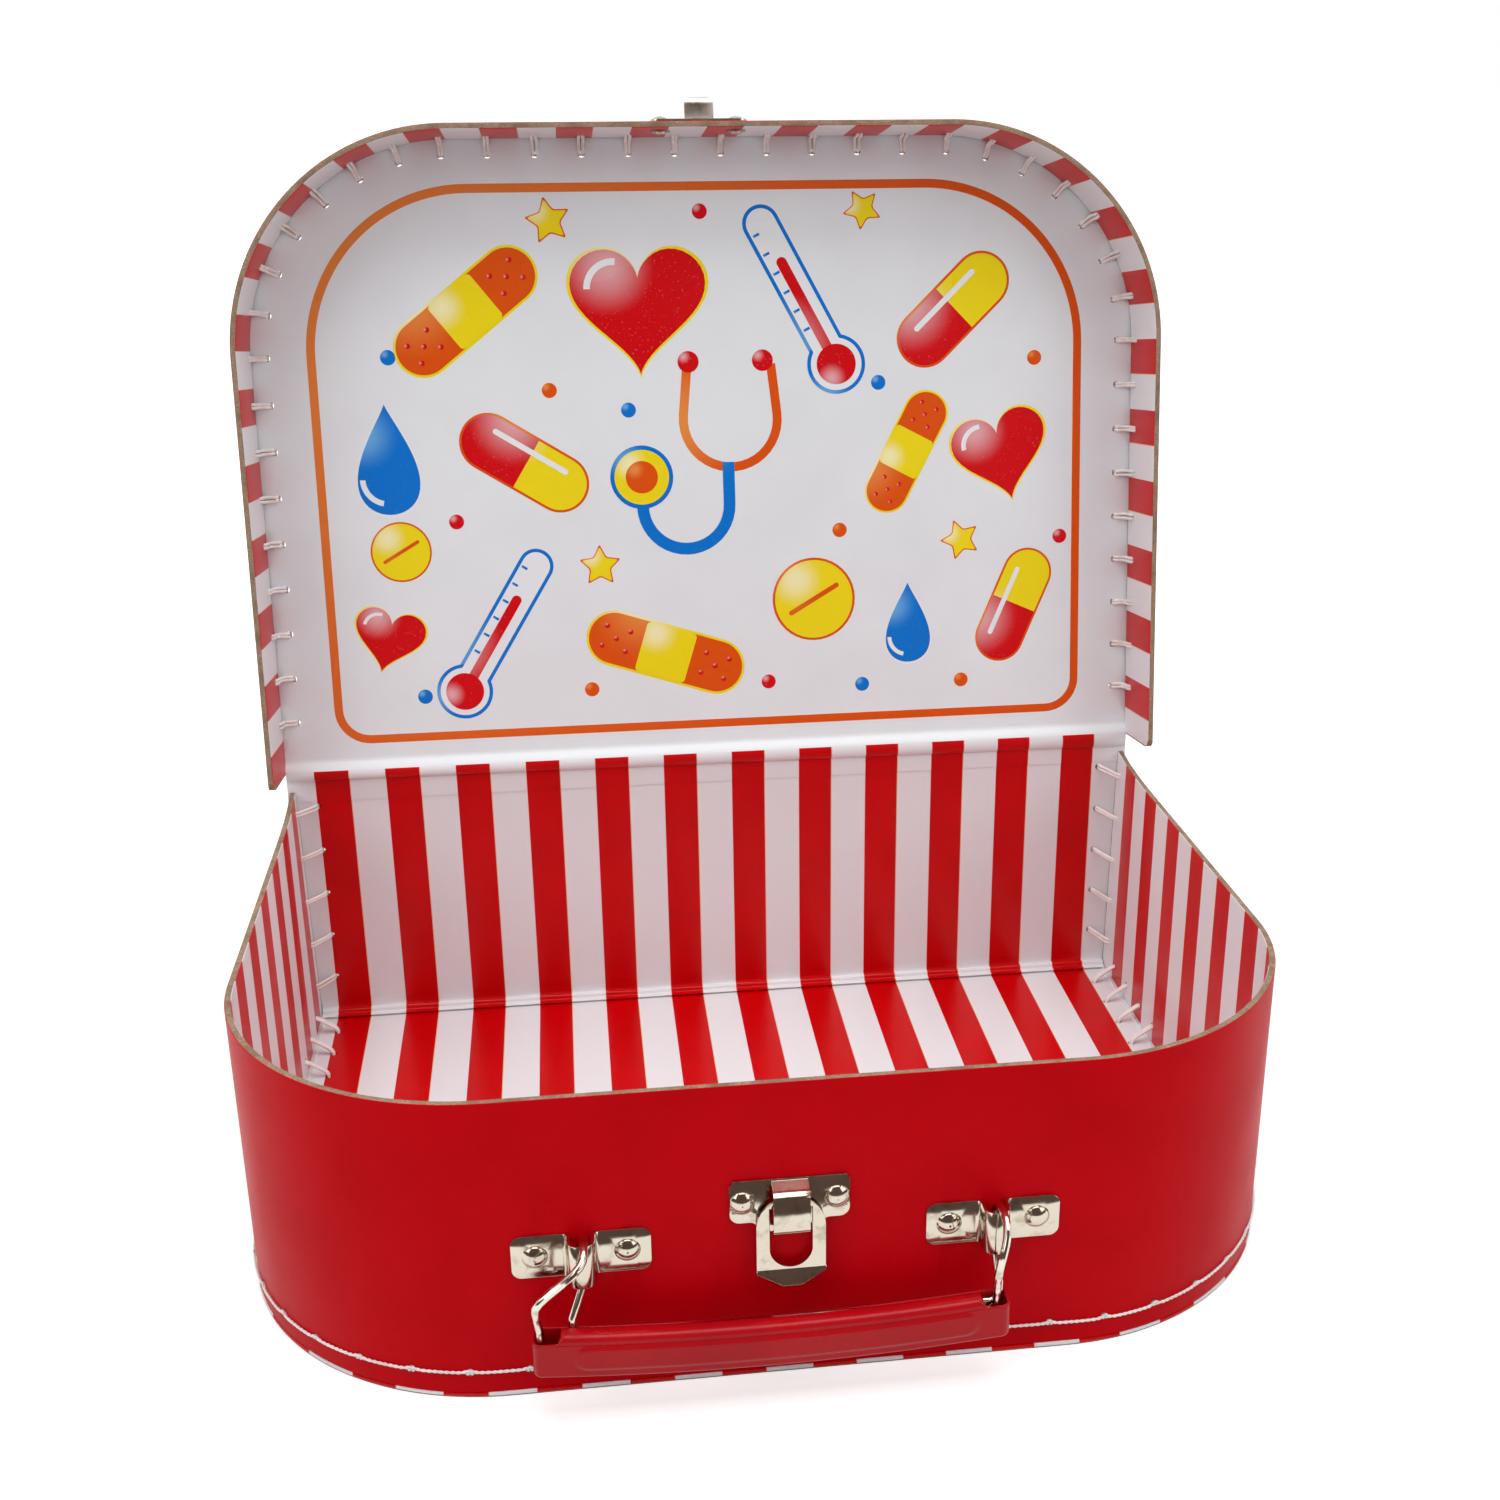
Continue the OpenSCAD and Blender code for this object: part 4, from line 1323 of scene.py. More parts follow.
@dataclass
class LidPrint:
    """Printed figures on the lid's lining: hearts, plasters, tablets and the like within a line."""

    sizes: CaseSizes
    palette: Palette
    film: float = 0.016 * MM
    sheets: dict[Ink, bmesh.types.BMesh] = field(default_factory=dict)

    def build(self) -> None:
        """Draws every figure and makes one piece of each colour."""
        self.border()
        for spot in (Spot(-18, 136, 0, 1.15), Spot(86, 92, 14, 0.85), Spot(-93, 44, -16, 0.6)):
            self.heart(spot)
        for spot in (Spot(-66, 134, 38), Spot(-14, 36, -18), Spot(58, 92, 62, 0.8)):
            self.plaster(spot)
        for spot in (Spot(72, 132, 44), Spot(-52, 92, -32), Spot(90, 46, 66, 0.9)):
            self.capsule(spot)
        for spot in (Spot(28, 136, 118, 1.05), Spot(-62, 44, 58)):
            self.thermometer(spot)
        self.stethoscope(Spot(6, 88))
        for spot in (Spot(-90, 94, 0, 1.1), Spot(58, 42, 0, 0.85)):
            self.drop(spot)
        for spot in (Spot(30, 50), Spot(-88, 68, 0, 0.7)):
            self.tablet(spot)
        for spot in (Spot(-42, 158, 10, 0.8), Spot(46, 160, 30, 0.7), Spot(-32, 62, 0, 0.75),
                     Spot(74, 66, 20, 0.75)):
            self.star(spot)
        dots = ((-88, 122), (-44, 112), (0, 160), (50, 112), (96, 118), (-72, 76), (-22, 106),
                (38, 70), (104, 66), (-84, 26), (-36, 26), (16, 26), (44, 24), (74, 24))
        for (x, up), ink in zip(dots, [Ink.BLUE, Ink.ORANGE, Ink.RED] * 5):
            self.lay(ink, self.disc(2.1), Spot(x, up), 0, 2.1)
        for ink, bm in self.sheets.items():
            bmesh.ops.transform(bm, matrix=self.sizes.lid_place(), verts=list(bm.verts))
            make_piece(f"print_{ink.value}", "lid", bm, [self.palette.inks[ink]])

    def lay(self, ink: Ink, shape: bmesh.types.BMesh, spot: Spot, level: int, reach: float) -> None:
        """Lays a flat figure on the lining as a thin film.

        Args:
            ink: Its colour.
            shape: The flat figure in its own plane, in millimetres, which is freed.
            spot: Where it goes.
            level: How many figures lie under it.
            reach: Half the figure's size, for its shading.
        """
        layer = shape.loops.layers.uv.verify()
        for face in shape.faces:
            for loop in face.loops:
                loop[layer].uv = (loop.vert.co.x / reach / 2, loop.vert.co.y / reach / 2)
        made = bmesh.ops.extrude_face_region(shape, geom=list(shape.faces))["geom"]
        low = -self.film * (1.5 * level + 0.5) / MM
        tops = set(only_verts(made))
        turn = Matrix.Rotation(math.radians(spot.turn), 3, "Z")
        for vert in shape.verts:
            flat = turn @ Vector((vert.co.x * spot.size, vert.co.y * spot.size, 0))
            height = low - (self.film / MM if vert in tops else 0)
            vert.co = Vector((spot.x + flat.x, -spot.up - flat.y, height)) * MM
        bmesh.ops.recalc_face_normals(shape, faces=list(shape.faces))
        if ink not in self.sheets:
            self.sheets[ink] = bmesh.new()
        join(self.sheets[ink], shape)

    def disc(self, radius: float) -> bmesh.types.BMesh:
        """Round figure."""
        bm = bmesh.new()
        bmesh.ops.create_circle(bm, cap_ends=True, segments=40, radius=radius)
        return bm

    def bar(self, left: float, right: float, half: float, rounds: tuple[bool, bool] = (True, True),
            radius: float | None = None) -> bmesh.types.BMesh:
        """Bar with round ends where they are asked for.

        Args:
            left: Its left end.
            right: Its right end.
            half: Half its height.
            rounds: Whether the left and the right end are round.
            radius: The ends' radius, where they aren't half rounds.

        Returns:
            The bar.
        """
        bm = bmesh.new()
        corners = [bm.verts.new((x, y, 0)) for x, y in
                   ((left, -half), (right, -half), (right, half), (left, half))]
        bm.faces.new(corners)
        bent = [v for v, use in zip(corners, (rounds[0], rounds[1], rounds[1], rounds[0])) if use]
        if bent:
            bmesh.ops.bevel(bm, geom=bent, offset=(radius or half) * 0.999, affect="VERTICES", segments=10,
                            profile=0.5, material=-1)
        return bm

    def curve(self, points: Iterable[Point2]) -> bmesh.types.BMesh:
        """Figure inside a closed line."""
        bm = bmesh.new()
        bm.faces.new([bm.verts.new((x, y, 0)) for x, y in points])
        return bm

    def border(self) -> None:
        """Thin line round the print, following the lid."""
        bm = bmesh.new()
        corners = [bm.verts.new((x, y, 0)) for x, y in ((-110, 13), (110, 13), (110, 168), (-110, 168))]
        bm.faces.new(corners)
        bmesh.ops.bevel(bm, geom=corners[2:], offset=46, affect="VERTICES", segments=28, profile=0.5,
                        material=-1)
        near = [v for v in bm.verts if v.co.y < 14]
        bmesh.ops.bevel(bm, geom=near, offset=10, affect="VERTICES", segments=10, profile=0.5, material=-1)
        inner = bm.faces[:]
        bmesh.ops.inset_region(bm, faces=inner, thickness=2.4, use_even_offset=True, use_boundary=True)
        bmesh.ops.delete(bm, geom=inner, context="FACES_ONLY")
        self.lay(Ink.ORANGE, bm, Spot(0, 0), 0, 400)

    def heart(self, spot: Spot) -> None:
        """Red heart with a fine light outline and a white glint.

        Args:
            spot: Its place.
        """
        for ink, grow, level in ((Ink.YELLOW, 1.05, 0), (Ink.RED, 1.0, 1)):
            points = []
            for k in range(64):
                a = 2 * math.pi * k / 64
                height = 13.5 * math.cos(a) - 5.2 * math.cos(2 * a) - 2 * math.cos(3 * a) - math.cos(4 * a)
                points.append((grow * 16.5 * math.sin(a) ** 3, grow * height))
            self.lay(ink, self.curve(points), spot, level, 17)
        arc = Stroke(1.6, (-12.4, 3), 90).turn(6.4, -96)
        self.lay(Ink.WHITE, arc.bm, spot, 2, 17)

    def plaster(self, spot: Spot) -> None:
        """Sticking plaster with its pad and air holes.

        Args:
            spot: Its place.
        """
        self.lay(Ink.YELLOW, self.bar(-23.7, 23.7, 8.2), spot, 0, 24)
        self.lay(Ink.ORANGE, self.bar(-23, 23, 7.5), spot, 1, 23)
        self.lay(Ink.YELLOW, self.bar(-7.5, 7.5, 7.5, radius=1.2), spot, 2, 10)
        for side in (-1, 1):
            for across, along in ((-3, 11.5), (3, 11.5), (0, 15), (-3, 18.5), (3, 18.5)):
                self.lay(Ink.RED, self.disc(0.75), spot.moved(side * along, across), 2, 1)

    def capsule(self, spot: Spot) -> None:
        """Capsule in two colours.

        Args:
            spot: Its place.
        """
        self.lay(Ink.ORANGE, self.bar(-19.7, 19.7, 8.2), spot, 0, 20)
        self.lay(Ink.YELLOW, self.bar(-19, 19, 7.5), spot, 1, 19)
        self.lay(Ink.RED, self.bar(-19, 0.5, 7.5, (True, False)), spot, 2, 19)
        self.lay(Ink.WHITE, self.bar(-12, 12, 0.8), spot.moved(0, 3.6), 3, 19)

    def thermometer(self, spot: Spot) -> None:
        """Thermometer with its column and marks.

        Args:
            spot: Its place.
        """
        self.lay(Ink.BLUE, self.bar(-20, 27, 5), spot, 0, 26)
        self.lay(Ink.BLUE, self.disc(8), spot.moved(-20, 0), 1, 9)
        self.lay(Ink.WHITE, self.bar(-20, 26, 4), spot, 2, 26)
        self.lay(Ink.WHITE, self.disc(7), spot.moved(-20, 0), 3, 9)
        self.lay(Ink.RED, self.bar(-20, 12, 1.4), spot, 4, 22)
        self.lay(Ink.RED, self.disc(5.4), spot.moved(-20, 0), 5, 6)
        for k in range(6):
            mark = self.bar(-0.35, 0.35, 0.9, (False, False))
            self.lay(Ink.BLUE, mark, spot.moved(-8 + 5.6 * k, 2.6), 4, 2)

    def stethoscope(self, spot: Spot) -> None:
        """Stethoscope drawn with round lines.

        Args:
            spot: Its place.
        """
        ears = Stroke(2.6, (-11, 30), -96).forward(14).turn(13.5, 192).forward(14)
        tube = Stroke(3.4, (0, 2.6), -90).forward(12).turn(12.5, -180).forward(4)
        self.lay(Ink.ORANGE, ears.bm, spot, 0, 30)
        self.lay(Ink.BLUE, tube.bm, spot, 1, 30)
        for side in (-1, 1):
            self.lay(Ink.RED, self.disc(3), spot.moved(side * 10.6, 31), 1, 3)
        for ink, radius, level in ((Ink.BLUE, 9, 2), (Ink.YELLOW, 7.8, 3), (Ink.ORANGE, 4.6, 4)):
            self.lay(ink, self.disc(radius), spot.moved(-25, -1), level, radius)

    def drop(self, spot: Spot) -> None:
        """Blue drop.

        Args:
            spot: Its place.
        """
        for ink, grow, level in ((Ink.WHITE, 1.06, 0), (Ink.BLUE, 1.0, 1)):
            steps = [2 * math.pi * k / 56 for k in range(56)]
            shape = self.curve([(grow * 11 * math.sin(a) * math.sin(a / 2) ** 1.4, grow * 14 * math.cos(a))
                                for a in steps])
            bmesh.ops.remove_doubles(shape, verts=list(shape.verts), dist=1e-4)
            self.lay(ink, shape, spot, level, 13)
        arc = Stroke(1.4, (-6.6, -5), -90).turn(6.2, 78)
        self.lay(Ink.WHITE, arc.bm, spot, 2, 13)

    def tablet(self, spot: Spot) -> None:
        """Round tablet with its groove.

        Args:
            spot: Its place.
        """
        self.lay(Ink.ORANGE, self.disc(12.2), spot, 0, 12)
        self.lay(Ink.YELLOW, self.disc(11.5), spot, 1, 12)
        self.lay(Ink.ORANGE, self.bar(-8.5, 8.5, 0.7), Spot(spot.x, spot.up, 30, spot.size), 2, 12)

    def star(self, spot: Spot) -> None:
        """Star with soft points.

        Args:
            spot: Its place.
        """
        for ink, radius, level in ((Ink.ORANGE, 8.4, 0), (Ink.YELLOW, 7.4, 1)):
            points = []
            for k in range(10):
                reach = radius * (1 if k % 2 == 0 else 0.5)
                points.append((reach * math.sin(math.pi * k / 5), reach * math.cos(math.pi * k / 5)))
            shape = self.curve(points)
            bmesh.ops.bevel(shape, geom=list(shape.verts), offset=0.9, affect="VERTICES", segments=4,
                            profile=0.5, material=-1)
            self.lay(ink, shape, spot, level, 8)


@dataclass
class ThreadMaker:
    """Makes thread of two plies laid round each other."""

    palette: Palette
    twist: float = 2.6 * MM

    def plies(self, line: Sequence[Vector], spread: float) -> list[list[Vector]]:
        """Two lines that twist round a line.

        Args:
            line: The middle line, in close steps.
            spread: Distance of each ply from it.

        Returns:
            The two plies' lines.
        """
        made: list[list[Vector]] = [[], []]
        aside = Vector((0.31, 0.2, 0.93))
        run = 0.0
        for i, point in enumerate(line):
            ahead = line[min(i + 1, len(line) - 1)] - line[max(i - 1, 0)]
            way = ahead.normalized()
            side = way.cross(aside).normalized()
            up = way.cross(side)
            turn = 2 * math.pi * run / self.twist
            for half, path in enumerate(made):
                angle = turn + math.pi * half
                path.append(point + spread * (math.cos(angle) * side + math.sin(angle) * up))
            if i + 1 < len(line):
                run += (line[i + 1] - point).length
        return made

    def resample(self, line: Sequence[Vector], step: float) -> list[Vector]:
        """The same line in close steps, its corners kept soft.

        Args:
            line: The line's corners.
            step: About how long each step is.

        Returns:
            The closer line.
        """
        fine = [line[0]]
        for first, second in zip(line, line[1:]):
            pieces = max(1, round((second - first).length / step))
            fine += [first.lerp(second, k / pieces) for k in range(1, pieces + 1)]
        for _ in range(2):
            inner = [(a + 2 * b + c) / 4 for a, b, c in zip(fine, fine[1:], fine[2:])]
            fine = [fine[0], *inner, fine[-1]]
        return fine

    def piece(self, name: str, body: str, lines: Iterable[Sequence[Vector]], stands_for: str,
              radius: float) -> None:
        """Makes one thread piece from many lines.

        Args:
            name: The piece's name.
            body: The body that it rides on.
            lines: The plies' lines.
            stands_for: The CAD node that it replaces.
            radius: One ply's radius.
        """
        curve = bpy.data.curves.new(name, "CURVE")
        curve.dimensions = "3D"
        curve.bevel_depth = radius
        curve.bevel_resolution = 1
        curve.use_fill_caps = True
        for line in lines:
            spline = curve.splines.new("POLY")
            spline.points.add(len(line) - 1)
            for point, place in zip(spline.points, line):
                point.co = (*place, 1)
        holder = bpy.data.objects.new(name + "_curve", curve)
        bpy.context.scene.collection.objects.link(holder)
        view = bpy.context.evaluated_depsgraph_get()
        mesh = bpy.data.meshes.new_from_object(holder.evaluated_get(view))
        bpy.data.objects.remove(holder)
        bpy.data.curves.remove(curve)
        bm = bmesh.new()
        bm.from_mesh(mesh)
        bpy.data.meshes.remove(mesh)
        bmesh.ops.recalc_face_normals(bm, faces=list(bm.faces))
        piece = make_piece(name, body, bm, [self.palette.thread], 80)
        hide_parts(stands_for)


@dataclass
class Stitching:
    """All the thread of the case.

    A section is a stitch's line from the rim's hole to the board's, outwards and up, in millimetres.
    """

    sizes: CaseSizes
    palette: Palette
    base_section: Sequence[Point2] = (
        (0.4, 6.3), (-1.7, 6.2), (-2.7, 5.6), (-6.6, 2.9), (-7.6, 1.9), (-7.6, 0.6))
    lid_section: Sequence[Point2] = (
        (0.4, -5), (-1.6, -5), (-2.1, -4.3), (-2.1, -2.1), (-2.1, -0.7), (-3, -0.34),
        (-5, -0.36), (-5.8, -0.2), (-5.8, 1.2))
    stitch_step: float = 0.7 * MM
    line_step: float = 0.4 * MM
    line_spread: float = 0.17 * MM
    line_ply: float = 0.21 * MM
    proud: float = 0.42 * MM
    upright_points: int = 145

    def build(self) -> None:
        """Makes every thread piece."""
        sizes = self.sizes
        maker = ThreadMaker(self.palette)
        place = sizes.lid_place()
        base = Seam(sizes.rim(), sizes.stitches)
        lid = Seam(sizes.lid_rim(), sizes.stitches)
        flat = Matrix.Identity(4)
        self.corner(maker, "base_stitch_thread", "base", base, flat, "base_corner_stitches",
                    self.base_section)
        self.corner(maker, "lid_stitch_thread", "lid", lid, place, "lid_corner_stitches",
                    self.lid_section, 0.5)
        self.outline(maker, "base_seam_thread", "base", base, flat, 0.36 * MM, sizes.stitch_h,
                     "base_rim_thread")
        self.outline(maker, "lid_seam_thread", "lid", lid, place, self.proud, -sizes.lid_stitch,
                     "lid_rim_thread")
        self.outline(maker, "base_underside_seam", "base", base, flat, -sizes.base_line, 0.5 * MM,
                     "base_underside_thread", 0.0)
        self.outline(maker, "lid_top_seam", "lid", lid, place, -sizes.lid_line, sizes.board + self.proud,
                     "lid_top_thread", 0.0)
        self.back_corners(maker)

    def parting(self, share: float, number: int) -> float:
        """How far a stitch's plies part at a share of its line, in millimetres."""
        return 0.16 * math.sin(math.pi * share) * math.cos(2.2 * share + number)

    def corner(self, maker: ThreadMaker, name: str, body: str, seam: Seam, place: Matrix, node: str,
               section: Sequence[Point2], ply: float = 0.46) -> None:
        """Double stitches from the rim's holes to the board's.

        Args:
            maker: Makes the thread.
            name: The piece's name.
            body: The body that it rides on.
            seam: Where the stitches are.
            place: From the seam's plane to the case.
            node: The CAD node that it replaces.
            section: The stitch's line, outwards and up, in millimetres.
            ply: One ply's radius, in millimetres.
        """
        lines = []
        for k, along in enumerate(seam.places()):
            for side in (-1, 1):
                slide = 0.3 * math.sin(k * 2.3)
                line = []
                for i, (out, up) in enumerate(section):
                    share = i / (len(section) - 1)
                    spread = side * (ply - 0.02 + self.parting(share, k))
                    point = seam.path.point(along + (spread + slide * (share - 0.2)) * MM, out * MM)
                    point += Vector((0, 0, up * MM))
                    if body == "base":
                        point = point.lerp(self.sizes.sprung(point), 1 - share)
                    line.append(place @ point)
                lines.append(maker.resample(line, self.stitch_step))
        maker.piece(name, body, lines, node, ply * MM)

    def outline(self, maker: ThreadMaker, name: str, body: str, seam: Seam, place: Matrix, out: float,
                up: float, node: str, dip: float = 0.42) -> None:
        """Line of thread along a seam, drawn in a little at every stitch.

        Args:
            maker: Makes the thread.
            name: The piece's name.
            body: The body that it rides on.
            seam: Where the stitches are.
            place: From the seam's plane to the case.
            out: How far the line lies outwards of the seam's path.
            up: Its height.
            node: The CAD node that it replaces.
            dip: How far it is drawn in and up at a stitch, in millimetres, or zero for a straight line.
        """
        reach = seam.reach()
        steps = round(2 * reach / self.line_step)
        line = []
        for i in range(steps + 1):
            along = -reach + 2 * reach * i / steps
            near = abs((along / seam.pitch) % 1 - 0.5) * seam.pitch / MM
            pull = math.exp(-(near / 1.1) ** 2)
            sag = 0.22 * math.sin(along * 61) if dip else 0.0
            point = seam.path.point(along, out - 0.3 * dip * pull * MM)
            point += Vector((0, 0, up + (dip * pull * 0.9 + sag) * MM))
            line.append(place @ (self.sizes.sprung(point) if node == "base_rim_thread" else point))
        lines = maker.plies(line, self.line_spread)
        if dip:
            for k, along in enumerate(seam.places()):
                lines.append(self.knot(maker, seam, place, along, out, up, k))
        maker.piece(name, body, lines, node, self.line_ply)

    def knot(self, maker: ThreadMaker, seam: Seam, place: Matrix, along: float, out: float, up: float,
             number: int) -> list[Vector]:
        """Small loop where a stitch crosses over the line.

        Args:
            maker: Makes the thread.
            seam: Where the stitches are.
            place: From the seam's plane to the case.
            along: The stitch's distance along the seam.
            out: How far the line lies outwards of the seam's path.
            up: Its height.
            number: The stitch's number, which sets the loop's lean.

        Returns:
            The loop's line.
        """
        lean = 0.35 * math.sin(number * 1.7)
        spots = [(-0.9, -0.35, -0.2), (-0.6, -0.1, 0.35), (-0.1 + lean, 0.22, 0.95), (0.5, 0.12, 0.7),
                 (0.75, -0.1, 0.0), (0.3, -0.5, -0.5)]
        line = []
        for a, o, h in spots:
            point = seam.path.point(along + a * MM, out + o * MM) + Vector((0, 0, up + h * MM))
            line.append(self.sizes.sprung(point) if out > 0 and up > 0 else point)
        return maker.resample([place @ point for point in line], 0.35 * MM)

    def back_corners(self, maker: ThreadMaker) -> None:
        """Stitches up the back corners and the upright lines outside them.

        Args:
            maker: Makes the thread.
        """
        sizes = self.sizes
        inset = sizes.back_inset
        wall = sizes.case_d / 2 - sizes.board
        half = sizes.rim().half
        inner = half - sizes.board
        stitches = []
        uprights = []
        for side in (-1, 1):
            low = -1.7 - 0.7 * side
            spots = [(half + 0.3 * MM, -inset, low), (inner, -inset, low),
                     (inner - 0.7 * MM, -4.6 * MM, low + 0.1), (inner - 4.6 * MM, -0.7 * MM, -0.1),
                     (inner - inset, 0, 0), (inner - inset, 1.2 * MM, 0)]
            for k, height in enumerate(sizes.back_heights()):
                for ply in (-1, 1):
                    line = []
                    for i, (x, y, drop) in enumerate(spots):
                        spread = ply * (0.44 + self.parting(i / (len(spots) - 1), k))
                        spot = Vector((side * x, wall + y, height + (drop + spread) * MM))
                        line.append(sizes.sprung(spot) if y < -MM else spot)
                    stitches.append(maker.resample(line, self.stitch_step))
            for x, y in ((half + self.proud, wall - inset), (inner - inset, sizes.case_d / 2 + self.proud)):
                line = [Vector((side * x, y, (11.8 + 0.4 * i) * MM)) for i in range(self.upright_points)]
                uprights += maker.plies(line, 0.16 * MM)
        maker.piece("back_stitch_thread", "base", stitches, "back_corner_stitches", 0.46 * MM)
        maker.piece("back_seam_thread", "base", uprights, "back_corner_threads", 0.22 * MM)


@dataclass
class Fitting:
    """Metal part that keeps its CAD shape and gets soft edges."""

    node: str
    body: str
    slot: str
    edge: float

    def build(self, material: bpy.types.Material) -> bpy.types.Object:
        """Copies the CAD mesh, merges it, softens its edges and dresses it.

        Args:
            material: The metal.

        Returns:
            The piece.
        """
        bm = bmesh.new()
        bm.from_mesh(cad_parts[self.node].data)
        bmesh.ops.remove_doubles(bm, verts=list(bm.verts), dist=SAME)
        bmesh.ops.dissolve_limit(bm, angle_limit=math.radians(1), verts=list(bm.verts), edges=list(bm.edges))
        sharp = [e for e in bm.edges if e.is_manifold and e.calc_face_angle(0) > math.radians(40)]
        if self.edge:
            bmesh.ops.bevel(bm, geom=sharp, offset=self.edge, affect="EDGES", segments=2, profile=0.5,
                            material=-1, clamp_overlap=True)
        bmesh.ops.triangulate(bm, faces=[f for f in bm.faces if len(f.verts) > 4])
        piece = make_piece(self.node + "_metal", self.body, bm, [material], 32)
        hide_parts(self.node)
        return piece


@dataclass
class FrontFittings:
    """Latch, brackets, rivets and the lid's catch."""

    palette: Palette

    def build(self) -> None:
        """Makes the metal parts."""
        metals = {"latch_plate": self.palette.latch, "handle_bracket_left": self.palette.bracket,
                  "handle_bracket_right": self.palette.bracket, "lid_catch": self.palette.catch}
        for node, body in (("latch_plate", "base"), ("latch_hasp", "hasp"), ("handle_bracket_left", "base"),
                           ("handle_bracket_right", "base"), ("lid_catch", "lid"), ("latch_rivets", "base"),
                           ("bracket_rivets", "base"), ("catch_rivets", "lid")):
            edge = 0.0 if node.endswith("rivets") else 0.16 * MM
            Fitting(node, body, "nickel_steel", edge).build(metals.get(node, self.palette.nickel))
        for node, body in (("latch_washers", "base"), ("bracket_washers", "base"), ("catch_washers", "lid")):
            Fitting(node, body, "washer_steel", 0.0).build(self.palette.steel)


@dataclass
class Grip:
    """Pressed metal grip: a tray with an embossed front and a lip rolled back over the wire."""

    palette: Palette
    middle: Vector = field(default_factory=lambda: Vector((-5.4, -97.5, 10.6)) * MM)
    length: float = 102 * MM
    thick: float = 6.6 * MM
    height: float = 10.2 * MM
    wall: float = 0.6 * MM
    corner: float = 1.8 * MM
    roll: float = 1.9 * MM
    mouth: float = 5.4 * MM
    sag: float = 2.3 * MM
    emboss: float = 0.5 * MM
    panel_half: float = 43.5 * MM
    panel_radius: float = 3.2 * MM
    panel_x: float = 0.8 * MM
    panel_z: float = 4.9 * MM
    panel_slope: float = 1.1 * MM
    square: float = 0.75
    lip_wall: float = 0.4 * MM
    lip_close: float = 0.9 * MM
    lip_turn: float = math.radians(205)

    def build(self) -> None:
        """Makes the tray and the rolled lip as one piece."""
        bm = self.tray()
        join(bm, self.rolled_lip())
        bow = (self.length ** 2 / 4 + self.sag ** 2) / (2 * self.sag)
        for vert in bm.verts:
            vert.co.z += bow - math.sqrt(bow ** 2 - vert.co.x ** 2)
        bmesh.ops.translate(bm, verts=list(bm.verts), vec=self.middle)
        piece = make_piece("handle_grip_pressed", "handle", bm, [self.palette.lacquer], 50)
        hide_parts("handle_grip")

    def tray(self) -> bmesh.types.BMesh:
        """Makes the straight tray, before it is bowed.

        Returns:
            The tray round its own middle, with the panel embossed on its front.
        """
        bm = plate(self.length / 2, -self.thick / 2, self.thick / 2, 0, 0, self.height - self.roll, 0.0)
        uprights = [e for e in bm.edges if abs(e.verts[0].co.z - e.verts[1].co.z) > SAME]
        bmesh.ops.bevel(bm, geom=uprights, offset=self.corner, affect="EDGES", segments=6, profile=0.5,
                        material=-1)
        top = [f for f in bm.faces if f.normal.z > 0.9]
        bmesh.ops.inset_region(bm, faces=top, thickness=self.wall, use_even_offset=True)
        made = bmesh.ops.extrude_face_region(bm, geom=top)["geom"]
        bmesh.ops.translate(bm, verts=only_verts(made), vec=(0, 0, self.wall + self.roll - self.height))
        bmesh.ops.delete(bm, geom=[f for f in top if f.is_valid], context="FACES")
        bmesh.ops.recalc_face_normals(bm, faces=list(bm.faces))
        low = [e for e in bm.edges if all(abs(v.co.z) < SAME for v in e.verts)]
        bmesh.ops.bevel(bm, geom=low, offset=0.8 * MM, affect="EDGES", segments=5, profile=0.5, material=-1)
        rim = [e for e in bm.edges if all(abs(v.co.z - self.height + self.roll) < SAME for v in e.verts)
               and e.calc_face_angle(0) > 1]
        bmesh.ops.bevel(bm, geom=rim, offset=0.2 * MM, affect="EDGES", segments=2, profile=0.5, material=-1)
        for k in range(-64, 65):
            score(bm, (k * 0.78 * MM, 0, 0), (1, 0, 0))
        for k in range(1, 26):
            score(bm, (0, 0, k * 0.31 * MM), (0, 0, 1))
        for vert in bm.verts:
            if vert.co.y < -self.thick / 2 + 0.01 * MM:
                vert.co.y -= self.raised(vert.co.x, vert.co.z)
        return bm

    def raised(self, x: float, z: float) -> float:
        """Height of the panel embossed on the front, which is long, with round ends.

        Args:
            x: The place along the grip.
            z: The place up its front.

        Returns:
            How far the front stands out there.
        """
        beyond = max(abs(x - self.panel_x) - self.panel_half + self.panel_radius, 0.0)
        off = math.hypot(beyond, z - self.panel_z) - self.panel_radius
        share = min(1.0, max(0.0, -off / self.panel_slope))
        return self.emboss * share * share * (3 - 2 * share)

    def rolled_lip(self) -> bmesh.types.BMesh:
        """Rolls a grid back over the tray.

        Returns:
            The lip, which rises from the front wall and closes in a dome at both ends.
        """
        bm = bmesh.new()
        bmesh.ops.create_grid(bm, x_segments=110, y_segments=14, size=0.5)
        reach = self.length / 2 - self.mouth
        foot = self.height - self.roll
        for vert in bm.verts:
            x = 2 * vert.co.x * reach
            close = min(1.0, max(0.0, abs(x) - reach + self.lip_close) / self.lip_close)
            radius = self.roll * max(0.08, math.sqrt(1 - close ** 2))
            angle = math.pi - (vert.co.y + 0.5) * self.lip_turn
            back, rise = math.cos(angle), math.sin(angle)
            if rise > 0:
                back, rise = (math.copysign(abs(v) ** self.square, v) for v in (back, rise))
            vert.co = (x, -self.thick / 2 + 1.15 * radius * (1 + back), foot + radius * rise)
        bmesh.ops.recalc_face_normals(bm, faces=list(bm.faces))
        if sum(f.normal.z for f in bm.faces) < 0:
            bmesh.ops.reverse_faces(bm, faces=list(bm.faces))
        bmesh.ops.solidify(bm, geom=list(bm.faces), thickness=self.lip_wall)
        return bm


